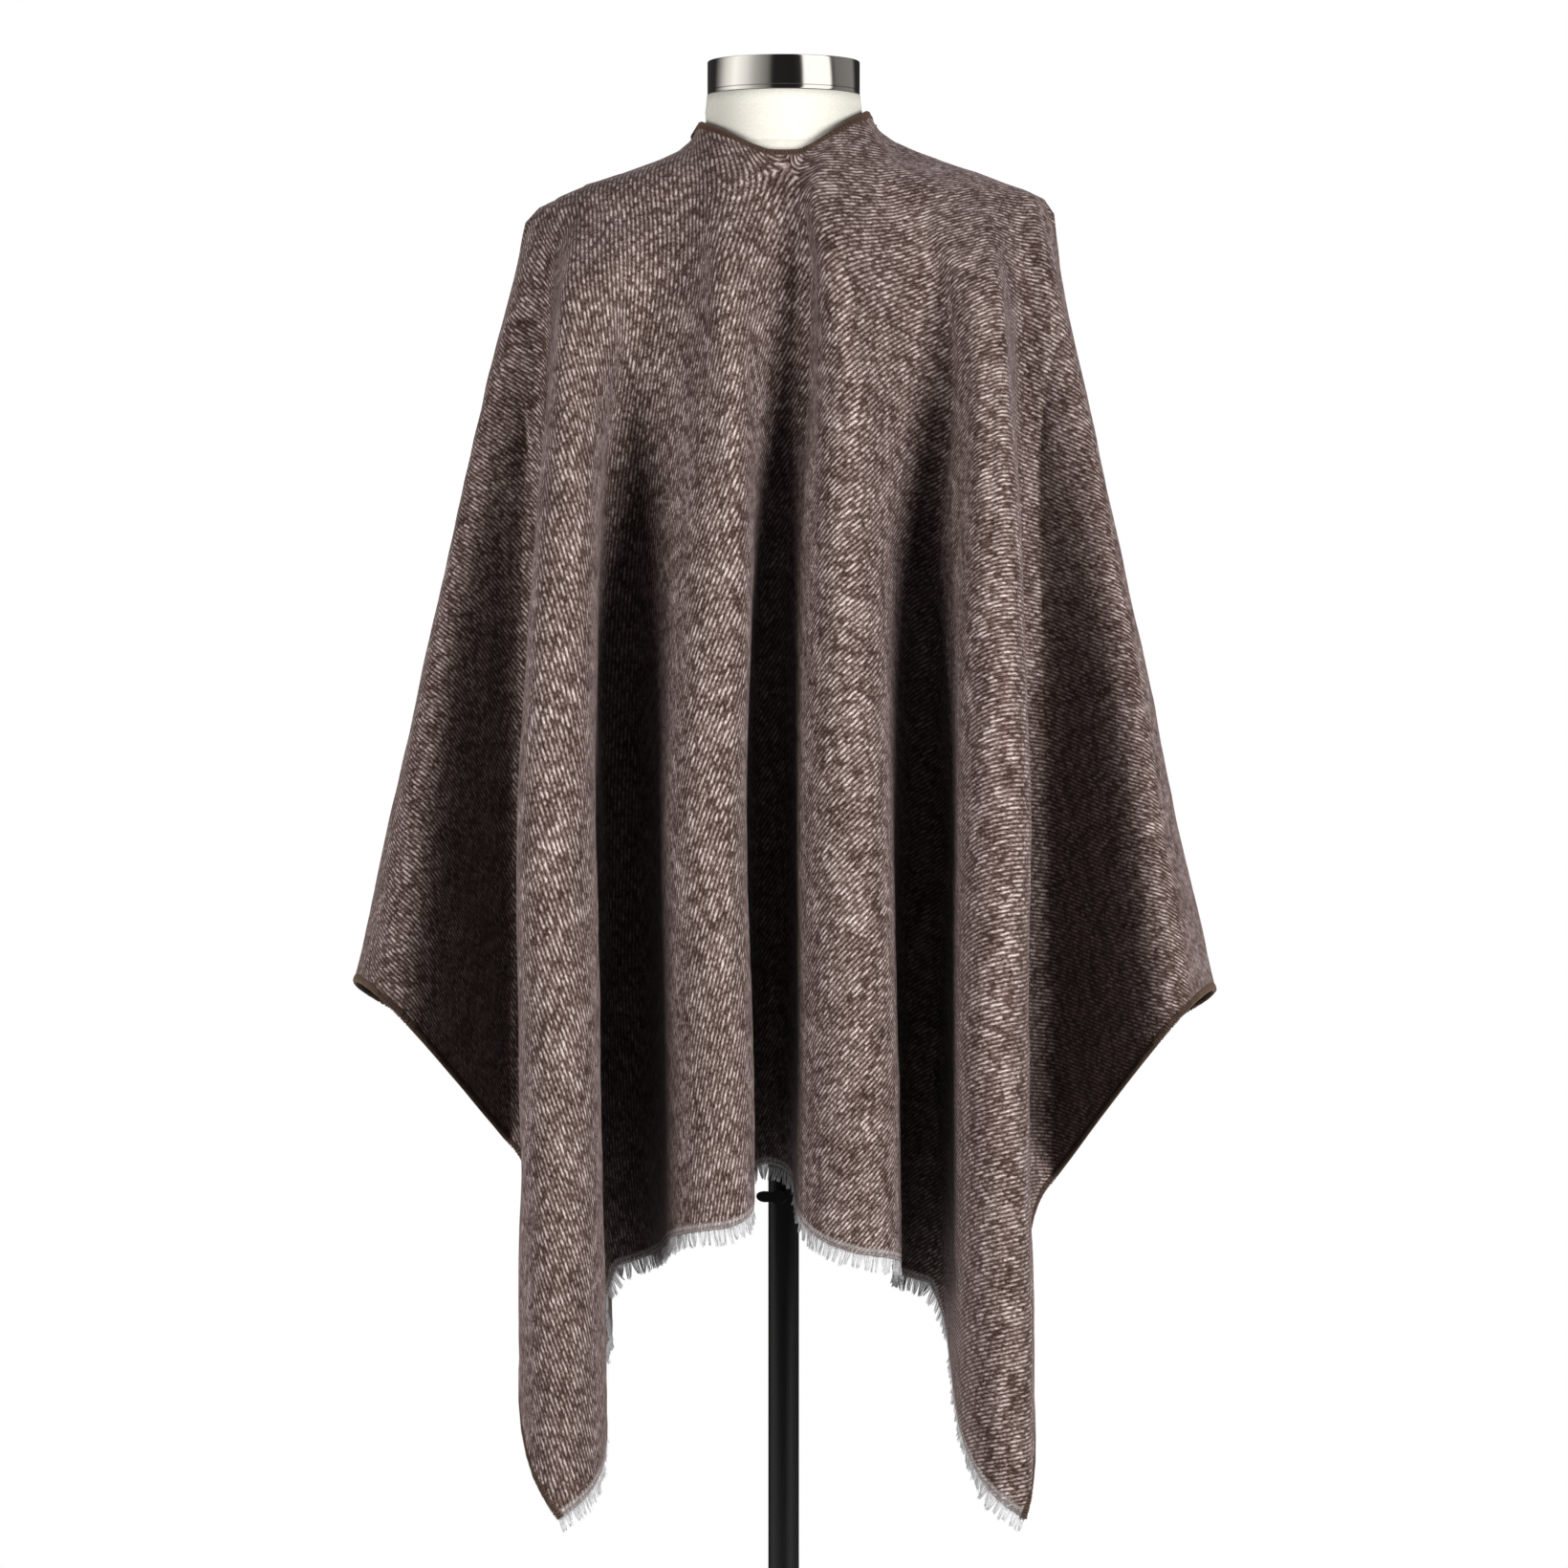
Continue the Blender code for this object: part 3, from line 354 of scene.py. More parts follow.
RIGHT_FOLDS = (
    ("back_middle", (0.000, -0.0695, 1.4665), "down",
     ((1.44, 0.004, -0.086), (1.38, 0.010, -0.107), (1.30, 0.003, -0.110), (1.16, -0.009, -0.105),
      (0.98, -0.012, -0.104), (0.738, -0.012, -0.106)),
     (0, 0), (0.30, 0.24), (0.30, 0.30), (0.3, 0.9), 6),
    ("back_ridge", (0.036, -0.0570, 1.4830), "down",
     ((1.44, 0.024, -0.100), (1.38, 0.034, -0.139), (1.30, 0.042, -0.164), (1.16, 0.046, -0.200),
      (0.98, 0.049, -0.234), (0.80, 0.055, -0.244), (0.682, 0.055, -0.244)),
     (0, 0), (0.33, 0.50), (0.33, 0.33), (0.6, 1.3), 7),
    ("back_valley", (0.0605, 0.0000, 1.5010), "down",
     ((1.45, 0.080, -0.064), (1.38, 0.104, -0.103), (1.30, 0.114, -0.111), (1.16, 0.104, -0.102),
      (0.98, 0.105, -0.090), (0.80, 0.105, -0.078), (0.650, 0.105, -0.068)),
     (0, 0), (0.33, 0.33), (0.30, 0.16), (1.0, 0.8), 9),
    ("back_tail", (0.140, 0.0000, 1.4560), "over",
     ((1.38, 0.144, -0.114), (1.30, 0.150, -0.156), (1.16, 0.153, -0.208), (0.98, 0.158, -0.246),
      (0.80, 0.159, -0.260), (0.64, 0.164, -0.264), (0.500, 0.168, -0.262)),
     (0, 25), (0.33, 0.38), (0.27, 0.08), (1.0, 0.6), 6),
    ("back_wing_valley", (0.180, 0.0000, 1.4420), "over",
     ((1.38, 0.181, -0.054), (1.30, 0.183, -0.036), (1.16, 0.187, -0.010), (0.98, 0.193, 0.012),
      (0.718, 0.197, 0.018)),
     (0, 0), (0.30, 0.16), (0.18, 0.14), (0.5, 0.1), 6),
    ("wing_ridge", (0.1970, 0.0000, 1.4270), "over",
     ((1.38, 0.202, -0.004), (1.30, 0.219, -0.011), (1.16, 0.249, -0.019), (0.98, 0.286, -0.027),
      (0.861, 0.312, -0.030)),
     (90, 80), (0.60, 1.70), (0.45, 0.85), (0.2, 1.6), 6),
    ("front_wing_valley", (0.180, 0.0000, 1.4420), "over",
     ((1.38, 0.184, 0.058), (1.30, 0.190, 0.060), (1.16, 0.198, 0.062), (0.98, 0.206, 0.064),
      (0.792, 0.206, 0.064)),
     (180, 180), (0.20, 0.50), (0.33, 0.28), (0.6, 1.0), 6),
    ("front_tail", (0.140, 0.0000, 1.4560), "over",
     ((1.38, 0.150, 0.090), (1.30, 0.153, 0.116), (1.16, 0.154, 0.160), (0.98, 0.156, 0.212),
      (0.80, 0.158, 0.232), (0.64, 0.158, 0.236), (0.568, 0.158, 0.234)),
     (180, 180), (0.33, 0.23), (0.33, 0.40), (0.6, 1.2), 9),
    ("front_valley", (0.0605, 0.0000, 1.5010), "down",
     ((1.45, 0.084, 0.056), (1.38, 0.112, 0.093), (1.30, 0.122, 0.112), (1.16, 0.130, 0.098),
      (0.98, 0.132, 0.092), (0.80, 0.130, 0.084), (0.710, 0.128, 0.080)),
     (180, 180), (0.30, 0.22), (0.33, 0.28), (0.8, 0.9), 5),
    ("front_ridge", (0.0635, 0.0280, 1.4810), "down",
     ((1.44, 0.075, 0.068), (1.38, 0.090, 0.103), (1.30, 0.097, 0.130), (1.16, 0.098, 0.168),
      (0.98, 0.096, 0.200), (0.762, 0.094, 0.216)),
     (180, 180), (0.33, 0.46), (0.33, 0.42), (0.8, 1.0), 4),
    ("front_edge", (0.0645, 0.0610, 1.4500), "down",
     ((1.38, 0.068, 0.102), (1.30, 0.070, 0.134), (1.16, 0.066, 0.140), (0.98, 0.062, 0.148),
      (0.795, 0.058, 0.156)),
     (180, 180), (0.33, 0.34), (0.33, 0.34), (1.0, 1.0), 0),
)

# Shoulder line of the cloth over the form: distance across against height
LEFT_SHOULDER = ((0.0600, 1.4930), (0.0670, 1.4800), (0.0765, 1.4722), (0.0900, 1.4658), (0.1070, 1.4588),
                 (0.1240, 1.4518), (0.1430, 1.4446), (0.1620, 1.4376), (0.1780, 1.4305), (0.1875, 1.4200))
RIGHT_SHOULDER = ((0.0605, 1.5010), (0.0700, 1.4870), (0.0805, 1.4792), (0.0980, 1.4722), (0.1165, 1.4652),
                  (0.1370, 1.4582), (0.1575, 1.4512), (0.1760, 1.4442), (0.1900, 1.4372), (0.1970, 1.4270))

CUT_WIDTH = 1.440
BACK_LENGTH = 0.805
FRONT_LENGTH = 0.740
NAPE_DEPTH = 0.070
NAPE_HALF = 0.011
CUT_ENDS = {
    "back_middle": ((0.000, NAPE_DEPTH), (0.000, BACK_LENGTH)),
    "back_ridge": ((NAPE_HALF, 0.040), (0.150, BACK_LENGTH)),
    "back_valley": ((NAPE_HALF, 0.000), (0.330, BACK_LENGTH)),
    "back_tail": ((0.095, 0.000), (CUT_WIDTH / 2, BACK_LENGTH)),
    "back_wing_valley": ((0.135, 0.000), (CUT_WIDTH / 2, 0.350)),
    "wing_ridge": ((0.152, 0.000), (CUT_WIDTH / 2, 0.000)),
    "front_wing_valley": ((0.135, 0.000), (CUT_WIDTH / 2, -0.330)),
    "front_tail": ((0.095, 0.000), (CUT_WIDTH / 2, -FRONT_LENGTH)),
    "front_valley": ((NAPE_HALF, 0.000), (0.330, -FRONT_LENGTH)),
    "front_ridge": ((NAPE_HALF, -0.035), (0.150, -FRONT_LENGTH)),
    "front_edge": ((NAPE_HALF, -0.075), (NAPE_HALF, -FRONT_LENGTH)),
}
CLOTH_ROWS = 116
COLUMN_SPLIT = 3
CLOTH_WALL = 0.0022
FORM_CLEARANCE = 0.0038
CLEAR_STEPS = 3
END_CROWDING = 0.6
TOP_BLEND = 0.16
PATH_STEPS = 12
NEAR_FORM = 1.15
row_shares = [k / CLOTH_ROWS for k in range(CLOTH_ROWS + 1)]


def hermite(p, q, leave, arrive, t):
    return (p * (2 * t ** 3 - 3 * t ** 2 + 1) + leave * (t ** 3 - 2 * t ** 2 + t)
            + q * (3 * t ** 2 - 2 * t ** 3) + arrive * (t ** 3 - t ** 2))


def bezier(a, b, c, d, t):
    k = 1 - t
    return a * k ** 3 + b * (3 * k * k * t) + c * (3 * k * t * t) + d * t ** 3


def crowded(share, low):
    """Towards the hem, columns stand closer together at the folds, where the section bends most."""
    return share + ((1 - math.cos(math.pi * share)) / 2 - share) * END_CROWDING * smooth_share(low * 3)


def eased(share, leave, arrive):
    """A share from 0 to 1 that sets off and arrives with the given steepness."""
    return (leave * (share ** 3 - 2 * share ** 2 + share) + 3 * share ** 2 - 2 * share ** 3
            + arrive * (share ** 3 - share ** 2))


def smooth_share(t):
    t = max(0.0, min(1.0, t))
    return t * t * (3 - 2 * t)


def fold_line(fold, side):
    """The fold's way down as one smooth line, cut at the row shares of its length."""
    stops = [Vector((side * fold["start"][0], fold["start"][1], fold["start"][2]))]
    stops += [Vector((side * across, front, height)) for height, across, front in fold["path"]]
    count = len(stops)
    slopes = [(stops[min(i + 1, count - 1)] - stops[max(i - 1, 0)]) / 2 for i in range(count)]
    reach = (stops[1] - stops[0]).length
    if fold["lean"] == "over":
        level = stops[1] - stops[0]
        level.z = 0
        slopes[0] = level.normalized() * reach if fold["name"] != "wing_ridge" else stops[1] - stops[0]
    else:
        slopes[0] = stops[1] - stops[0]
    slopes[-1] = stops[-1] - stops[-2]
    fine = []
    for i in range(count - 1):
        span = (stops[i + 1] - stops[i]).length
        leave = slopes[i] * (span / max(slopes[i].length, 1e-9))
        arrive = slopes[i + 1] * (span / max(slopes[i + 1].length, 1e-9))
        fine += [hermite(stops[i], stops[i + 1], leave, arrive, k / PATH_STEPS) for k in range(PATH_STEPS)]
    fine.append(stops[-1])
    run = [0.0]
    for p, q in zip(fine, fine[1:]):
        run.append(run[-1] + (q - p).length)
    table = [(run[i], fine[i].x, fine[i].y, fine[i].z) for i in range(len(fine))]
    total = run[-1]
    return [Vector([between(table, share * total, k) for k in (1, 2, 3)]) for share in row_shares]


def mixed(pair, low):
    """Between a value at the shoulder and one at the hem."""
    return pair[0] + (pair[1] - pair[0]) * low


def direction(degrees, side):
    turn = math.radians(degrees)
    return Vector((side * math.cos(turn), math.sin(turn), 0))


def form_ratio(point):
    """How far out a point is, as a share of the dress form's own surface there."""
    wide = between(FORM_SECTIONS, point.z, 1)
    deep = between(FORM_SECTIONS, point.z, 2 if point.y < 0 else 3)
    square = between(FORM_SECTIONS, point.z, 4)
    return (abs(point.x / wide) ** square + abs(point.y / deep) ** square) ** (1 / square)


def clear_of_form(point):
    """Moves a point of the cloth straight out until it clears the dress form."""
    if not FORM_SECTIONS[-1][0] <= point.z <= FORM_SECTIONS[0][0]:
        return point
    step = 0.0005
    for _ in range(CLEAR_STEPS):
        here = form_ratio(point)
        slope = Vector([(form_ratio(point + axis * step) - here) / step
                        for axis in (Vector((1, 0, 0)), Vector((0, 1, 0)), Vector((0, 0, 1)))])
        short = FORM_CLEARANCE - (here - 1) / slope.length
        if short <= 0:
            return point
        point = point + slope.normalized() * short
    return point


def top_edge(folds, side, shoulder):
    """The cloth's upper edge: neck edge, shoulder line, and back, one point for each column."""
    points = []
    for fold, after in zip(folds, folds[1:]):
        start, stop = Vector(fold["start"]), Vector(after["start"])
        spans = fold["spans"] * COLUMN_SPLIT
        for k in range(spans):
            share = k / spans
            point = start.lerp(stop, share)
            if abs(start.y) < 1e-6 and abs(stop.y) < 1e-6:
                point.z = between(shoulder, point.x, 1)
            else:
                flat = Vector((point.x, point.y, 0))
                radius = Vector((start.x, start.y, 0)).length * (1 - share)
                radius += Vector((stop.x, stop.y, 0)).length * share
                if fold["name"] == "back_middle":
                    rise = max(0, (point.x - NAPE_HALF) / (stop.x - NAPE_HALF))
                    point.z = start.z + (stop.z - start.z) * rise
                if fold["name"] == "back_ridge":
                    point.z = start.z + (stop.z - start.z) * math.sin(math.pi / 2 * share)
                if fold["name"] == "front_valley":
                    point.z = start.z + (stop.z - start.z) * (1 - math.cos(math.pi / 2 * share))
                point.x, point.y = (flat.normalized() * radius).xy
            points.append(Vector((side * point.x, point.y, point.z)))
    last = folds[-1]["start"]
    points.append(Vector((side * last[0], last[1], last[2])))
    return points


def half_cloth(rows, side, shoulder):
    """Columns of points from the middle of the back to the front edge, with their places in the flat cut."""
    folds = [dict(zip(FOLD_COLUMNS, row)) for row in rows]
    lines = [fold_line(fold, side) for fold in folds]
    edge = top_edge(folds, side, shoulder)
    columns, cuts = [], []
    for i, fold in enumerate(folds):
        spans = max(fold["spans"] * COLUMN_SPLIT, 1)
        after = min(i + 1, len(folds) - 1)
        for k in range(spans):
            column = []
            for row, low in enumerate(row_shares):
                share = crowded(k / spans, low)
                a, d = lines[i][row], lines[after][row]
                chord = Vector((d.x - a.x, d.y - a.y, 0)).length
                out = mixed(fold["outer"], low) * chord
                into = mixed(folds[after]["inner"], low) * chord
                b = a + direction(mixed(fold["heading"], low), side) * out
                c = d - direction(mixed(folds[after]["heading"], low), side) * into
                point = bezier(a, b, c, d, share)
                point.z = a.z + (d.z - a.z) * eased(share, *fold["fall"])
                column.append(point)
            columns.append(column)
            ends = [Vector(CUT_ENDS[fold["name"]][n]).lerp(Vector(CUT_ENDS[folds[after]["name"]][n]),
                                                           k / spans)
                    for n in (0, 1)]
            cuts.append([(side * at.x, at.y) for at in (ends[0].lerp(ends[1], low) for low in row_shares)])
    for column, top in zip(columns, edge):
        shift = top - column[0]
        for row, low in enumerate(row_shares):
            column[row] = column[row] + shift * (1 - smooth_share(low / TOP_BLEND))
            if form_ratio(column[row]) < NEAR_FORM:
                column[row] = clear_of_form(column[row])
    return columns, cuts


def fold_column(rows, name):
    """The column at which a named fold begins."""
    column = 0
    for row in rows:
        if row[0] == name:
            return column
        column += row[-1] * COLUMN_SPLIT
    return column


places, cut_places, known = [], [], {}


def vertex_at(point, cut_place):
    """The number of the cloth's vertex at this point, so that the two halves and the shoulder line join."""
    key = tuple(round(k, 5) for k in point)
    if key not in known:
        known[key] = len(places)
        places.append(tuple(point))
        cut_places.append(cut_place)
    return known[key]


half_grids = []
quads = []
for rows, side, shoulder in ((LEFT_FOLDS, -1, LEFT_SHOULDER), (RIGHT_FOLDS, 1, RIGHT_SHOULDER)):
    columns, cuts = half_cloth(rows, side, shoulder)
    grid = [[vertex_at(point, cut_place) for point, cut_place in zip(column, cut)]
            for column, cut in zip(columns, cuts)]
    half_grids.append(grid)
    for one, other in zip(grid, grid[1:]):
        for row in range(CLOTH_ROWS):
            corners = (one[row], one[row + 1], other[row + 1], other[row])
            quads.append(corners if side > 0 else corners[::-1])
left_grid, right_grid = half_grids
cut_places = np.array(cut_places)

# Small creases that the hanging weight pulls into the cloth. Each runs between two places of the flat
# cut (across, down the back), with its half width and its rise, a negative rise being a trough.
CREASES = (
    (-0.030, 0.090, -0.110, 0.560, 0.014, -0.0030),
    (-0.075, 0.060, -0.190, 0.420, 0.020, 0.0028),
    (0.028, 0.085, 0.120, 0.500, 0.013, -0.0028),
    (0.085, 0.050, 0.230, 0.400, 0.024, 0.0026),
    (0.180, 0.060, 0.360, 0.420, 0.026, -0.0030),
    (-0.200, 0.070, -0.430, 0.500, 0.024, -0.0026),
    (0.000, 0.160, 0.012, 0.700, 0.016, 0.0022),
    (-0.250, 0.340, -0.330, 0.760, 0.020, 0.0026),
    (0.235, 0.380, 0.290, 0.760, 0.018, 0.0024),
    (-0.560, 0.260, -0.640, 0.640, 0.026, -0.0028),
    (0.540, 0.240, 0.630, 0.620, 0.026, -0.0028),
    (-0.430, -0.120, -0.600, -0.520, 0.026, 0.0028),
    (0.410, -0.140, 0.590, -0.540, 0.026, 0.0028),
    (-0.070, -0.120, -0.140, -0.620, 0.018, -0.0026),
    (0.080, -0.100, 0.150, -0.640, 0.018, -0.0026),
    (-0.240, -0.200, -0.300, -0.700, 0.020, 0.0024),
    (0.250, -0.180, 0.310, -0.700, 0.020, 0.0024),
    (-0.030, 0.110, -0.056, 0.340, 0.011, 0.0050),
    (-0.044, 0.115, -0.100, 0.340, 0.013, -0.0046),
    (0.018, 0.100, 0.074, 0.310, 0.010, 0.0054),
    (0.004, 0.115, 0.022, 0.300, 0.011, -0.0052),
    (-0.155, 0.070, -0.310, 0.280, 0.015, 0.0050),
    (-0.175, 0.020, -0.340, 0.110, 0.018, -0.0036),
    (-0.110, 0.100, -0.180, 0.300, 0.022, -0.0034),
    (0.158, 0.070, 0.318, 0.280, 0.014, 0.0054),
    (0.112, 0.120, 0.150, 0.300, 0.018, -0.0040),
    (0.200, 0.020, 0.350, 0.125, 0.018, -0.0036),
)
CREASE_EASE = 0.25
SWELL = 0.0016
SWELL_SCALE = (11.0, 3.6)
RUMPLE = 0.0005
RUMPLE_SCALE = 46.0


def crease_rise(across, down):
    """How far the creases lift the cloth at each place of the cut."""
    rise = np.zeros(len(across))
    for x0, y0, x1, y1, half, lift in CREASES:
        run = np.array((x1 - x0, y1 - y0))
        share = ((across - x0) * run[0] + (down - y0) * run[1]) / (run @ run)
        held = np.clip(share, 0, 1)
        away = np.hypot(across - x0 - held * run[0], down - y0 - held * run[1])
        ease = np.clip(np.minimum(held, 1 - held) / CREASE_EASE, 0, 1)
        rise += lift * np.exp(-(away / half) ** 2) * (0.25 + 0.75 * ease)
    return rise


wrap_mesh = bpy.data.meshes.new("wrap_twill")
wrap_mesh.from_pydata(places, [], quads)
wrap_mesh.validate()
rest = np.array(places)
facing = np.zeros(len(places) * 3)
wrap_mesh.vertices.foreach_get("normal", facing)
facing = facing.reshape(-1, 3)
if facing[left_grid[0][CLOTH_ROWS // 2]][1] > 0:
    wrap_mesh.flip_normals()
    facing = -facing
lift = crease_rise(cut_places[:, 0], cut_places[:, 1])
for k, (across, down) in enumerate(cut_places):
    lift[k] += SWELL * noise.noise((across * SWELL_SCALE[0], down * SWELL_SCALE[1], 0.7))
    lift[k] += RUMPLE * noise.noise((across * RUMPLE_SCALE, down * RUMPLE_SCALE, 4.1))
for k, point in enumerate(rest):
    if form_ratio(Vector(point)) < NEAR_FORM and lift[k] < 0:
        lift[k] = 0
shape = rest + facing * lift[:, None]
wrap_mesh.vertices.foreach_set("co", shape.ravel())
wrap_mesh.update()
wrap_mesh.shade_smooth()
wrap_mesh.vertices.foreach_get("normal", normals := np.zeros(len(places) * 3))
normals = normals.reshape(-1, 3)

# The weave lies as the cloth does: the flat places, held as complex numbers, are eased until each triangle
# of the mesh keeps its true shape as nearly as it can. In the first rounds each turns as its neighbours do,
# which opens places where the start was folded over.
EASING_ROUNDS = 22
NEIGHBOUR_ROUNDS = 9
EASING_STEPS = 60
CORNER_LIMITS = (0.02, 20.0)
corners = np.array(quads)
triangles = np.concatenate((corners[:, (0, 1, 2)], corners[:, (0, 2, 3)]))
long_side = shape[triangles[:, 1]] - shape[triangles[:, 0]]
other_side = shape[triangles[:, 2]] - shape[triangles[:, 0]]
areas = np.linalg.norm(np.cross(long_side, other_side), axis=1)
sound = areas > 1e-9
triangles, long_side, other_side, areas = triangles[sound], long_side[sound], other_side[sound], areas[sound]
reach = np.linalg.norm(long_side, axis=1)
true_corners = np.stack((reach * 0, reach + 0j, ((other_side * long_side).sum(axis=1) + 1j * areas) / reach))
true_edge = (true_corners - np.roll(true_corners, -1, axis=0)).ravel()
opposite = np.roll(true_corners, -2, axis=0)
spread_angle = (np.roll(true_corners, -1, axis=0) - opposite) * np.conj(true_corners - opposite)
weight = np.clip(spread_angle.real / np.abs(spread_angle.imag), *CORNER_LIMITS).ravel()
first, second = triangles[:, (0, 1, 2)].T.ravel(), triangles[:, (1, 2, 0)].T.ravel()


def gathered(ends, values):
    """The sum of the values at each vertex."""
    return np.bincount(ends, values.real, len(shape)) + 1j * np.bincount(ends, values.imag, len(shape))


def at_ends(values):
    """Each edge's value, added at its first end and taken off at its second."""
    return gathered(first, values) - gathered(second, values)


held = np.bincount(first, weight, len(shape)) + np.bincount(second, weight, len(shape))
flat_places = cut_places[:, 0] - 1j * cut_places[:, 1]
for easing in range(EASING_ROUNDS):
    turn = (weight * (flat_places[first] - flat_places[second])
            * np.conj(true_edge)).reshape(3, -1).sum(axis=0)
    if easing < NEIGHBOUR_ROUNDS:
        turn = gathered(triangles.ravel(), np.repeat(turn / (np.abs(turn) + 1e-12), 3))[triangles].sum(axis=1)
    turn = np.tile(turn / (np.abs(turn) + 1e-12), 3)
    missing = at_ends(weight * (turn * true_edge - (flat_places[first] - flat_places[second])))
    step = missing / held
    size = np.vdot(missing, step).real
    for _ in range(EASING_STEPS):
        pull = at_ends(weight * (step[first] - step[second]))
        share = size / np.vdot(step, pull).real
        flat_places = flat_places + share * step
        missing = missing - share * pull
        size_before, size = size, np.vdot(missing, missing / held).real
        step = missing / held + step * (size / size_before)
weave_places = np.stack((flat_places.real, -flat_places.imag), axis=1)

flat_cut = wrap_mesh.uv_layers.new(name="flat_cut")
corner_of = np.zeros(len(wrap_mesh.loops), dtype=int)
wrap_mesh.loops.foreach_get("vertex_index", corner_of)
flat_cut.data.foreach_set("uv", weave_places[corner_of].ravel())

# Brushed twill: pale floats over dark brown yarn, a rib every few millimetres on the slant, and a soft nap.
TWILL_PITCH = 0.00283
TWILL_ACROSS = (0.866, 0.500)
FLOAT_LENGTH = 0.0088
FLOAT_SHARE = 0.34
FIBRE_FINENESS = (1800.0, 400.0, 0.0)
FLECK_SHARE = 0.66
PATCH_SHARE = 0.20
OVERLOCK_WIDTH = 0.0046
HEM_BAND = 0.0062

def maths(tree, operation, *values):
    """The result of one sum in a material."""
    return add(tree, "ShaderNodeMath", dict(enumerate(values)), operation=operation).outputs["Value"]


brown_twill, tree, shader = finish("brown_twill", (0.155, 0.110, 0.098), 0.92)
cut_at = add(tree, "ShaderNodeUVMap", uv_map="flat_cut")
slant = math.atan2(TWILL_ACROSS[1], TWILL_ACROSS[0])
on_slant = add(tree, "ShaderNodeVectorRotate", {"Vector": cut_at.outputs["UV"], "Angle": -slant},
               rotation_type="Z_AXIS")
wander = add(tree, "ShaderNodeTexNoise", {"Vector": cut_at.outputs["UV"], "Scale": 210.0, "Detail": 2.0})
wander_small = add(tree, "ShaderNodeVectorMath", {0: wander.outputs["Color"], 1: (0.0011, 0.0011, 0.0)},
                   operation="MULTIPLY")
weave_at = add(tree, "ShaderNodeVectorMath", {0: on_slant.outputs["Vector"],
                                              1: wander_small.outputs["Vector"]},
               operation="ADD")
weave_xy = add(tree, "ShaderNodeSeparateXYZ", {"Vector": weave_at.outputs["Vector"]})
rib_place = maths(tree, "MULTIPLY", weave_xy.outputs["X"], 1 / TWILL_PITCH)
rib_number = maths(tree, "FLOOR", rib_place)
rib_offset = add(tree, "ShaderNodeTexWhiteNoise", {"W": rib_number}, noise_dimensions="1D")
float_place = maths(tree, "MULTIPLY_ADD", rib_offset.outputs["Value"], 97.0,
                    maths(tree, "MULTIPLY", weave_xy.outputs["Y"], 1 / FLOAT_LENGTH))
float_tone = add(tree, "ShaderNodeTexNoise", {"W": float_place, "Scale": 1.0, "Detail": 2.0,
                                              "Roughness": 0.6},
                 noise_dimensions="1D")
lit_float = add(tree, "ShaderNodeMapRange", {"Value": float_tone.outputs["Fac"], "From Min": 0.32,
                                             "From Max": 0.66, "To Min": 0.20, "To Max": 1.0})
from_rib = maths(tree, "ABSOLUTE", maths(tree, "MULTIPLY_ADD", maths(tree, "FRACT", rib_place), 2.0, -1.0))
rib_height = maths(tree, "SUBTRACT", 1.0, maths(tree, "POWER", from_rib, 1.1))
float_part = maths(tree, "MULTIPLY", maths(tree, "MULTIPLY", rib_height, lit_float.outputs["Result"]),
                   FLOAT_SHARE)
fibre_at = add(tree, "ShaderNodeVectorMath", {0: weave_at.outputs["Vector"], 1: FIBRE_FINENESS},
               operation="MULTIPLY")
fleck = add(tree, "ShaderNodeTexNoise", {"Vector": fibre_at.outputs["Vector"], "Scale": 1.0, "Detail": 2.0,
                                         "Roughness": 0.7})
patch = add(tree, "ShaderNodeTexNoise", {"Vector": cut_at.outputs["UV"], "Scale": 46.0, "Detail": 4.0,
                                         "Roughness": 0.6})
weave = maths(tree, "MULTIPLY_ADD", patch.outputs["Fac"], PATCH_SHARE,
              maths(tree, "MULTIPLY_ADD", fleck.outputs["Fac"], FLECK_SHARE, float_part))
twill_colour = coloured(tree, weave, (
    (0.33, (0.018, 0.011, 0.008)), (0.45, (0.062, 0.040, 0.033)), (0.56, (0.142, 0.108, 0.098)),
    (0.68, (0.300, 0.258, 0.247)), (0.90, (0.560, 0.515, 0.505))))
tint = coloured(tree, patch.outputs["Fac"], ((0.35, (0.86, 0.84, 0.84)), (0.65, (1.0, 1.0, 1.0))))
melange = add(tree, "ShaderNodeMix", {"Factor": 1.0, 6: twill_colour, 7: tint}, data_type="RGBA",
              blend_type="MULTIPLY")
near_hem = add(tree, "ShaderNodeAttribute", attribute_name="from_hem")
hem_share = add(tree, "ShaderNodeMapRange", {"Value": near_hem.outputs["Fac"], "From Min": HEM_BAND,
                                             "From Max": HEM_BAND * 0.8, "To Min": 0.0, "To Max": 0.55})
hem_white = add(tree, "ShaderNodeMath", {0: hem_share.outputs["Result"], 1: fleck.outputs["Fac"]},
                operation="MULTIPLY")
with_hem = add(tree, "ShaderNodeMix", {"Factor": hem_white.outputs["Value"], 6: melange.outputs[2],
                                       7: (0.62, 0.60, 0.60, 1)}, data_type="RGBA")
near_edge = add(tree, "ShaderNodeAttribute", attribute_name="from_overlock")
edge_share = add(tree, "ShaderNodeMapRange", {"Value": near_edge.outputs["Fac"], "From Min": OVERLOCK_WIDTH,
                                              "From Max": OVERLOCK_WIDTH * 0.8, "To Min": 0.0,
                                              "To Max": 0.92})
with_edge = add(tree, "ShaderNodeMix", {"Factor": edge_share.outputs["Result"], 6: with_hem.outputs[2],
                                        7: (0.050, 0.030, 0.021, 1)}, data_type="RGBA")
join(tree, with_edge.outputs[2], shader, "Base Color")
twill_bump = add(tree, "ShaderNodeBump", {"Height": weave, "Strength": 0.7, "Distance": 0.0008})
join(tree, twill_bump.outputs["Normal"], shader, "Normal")
shader.inputs["Sheen Weight"].default_value = 0.30
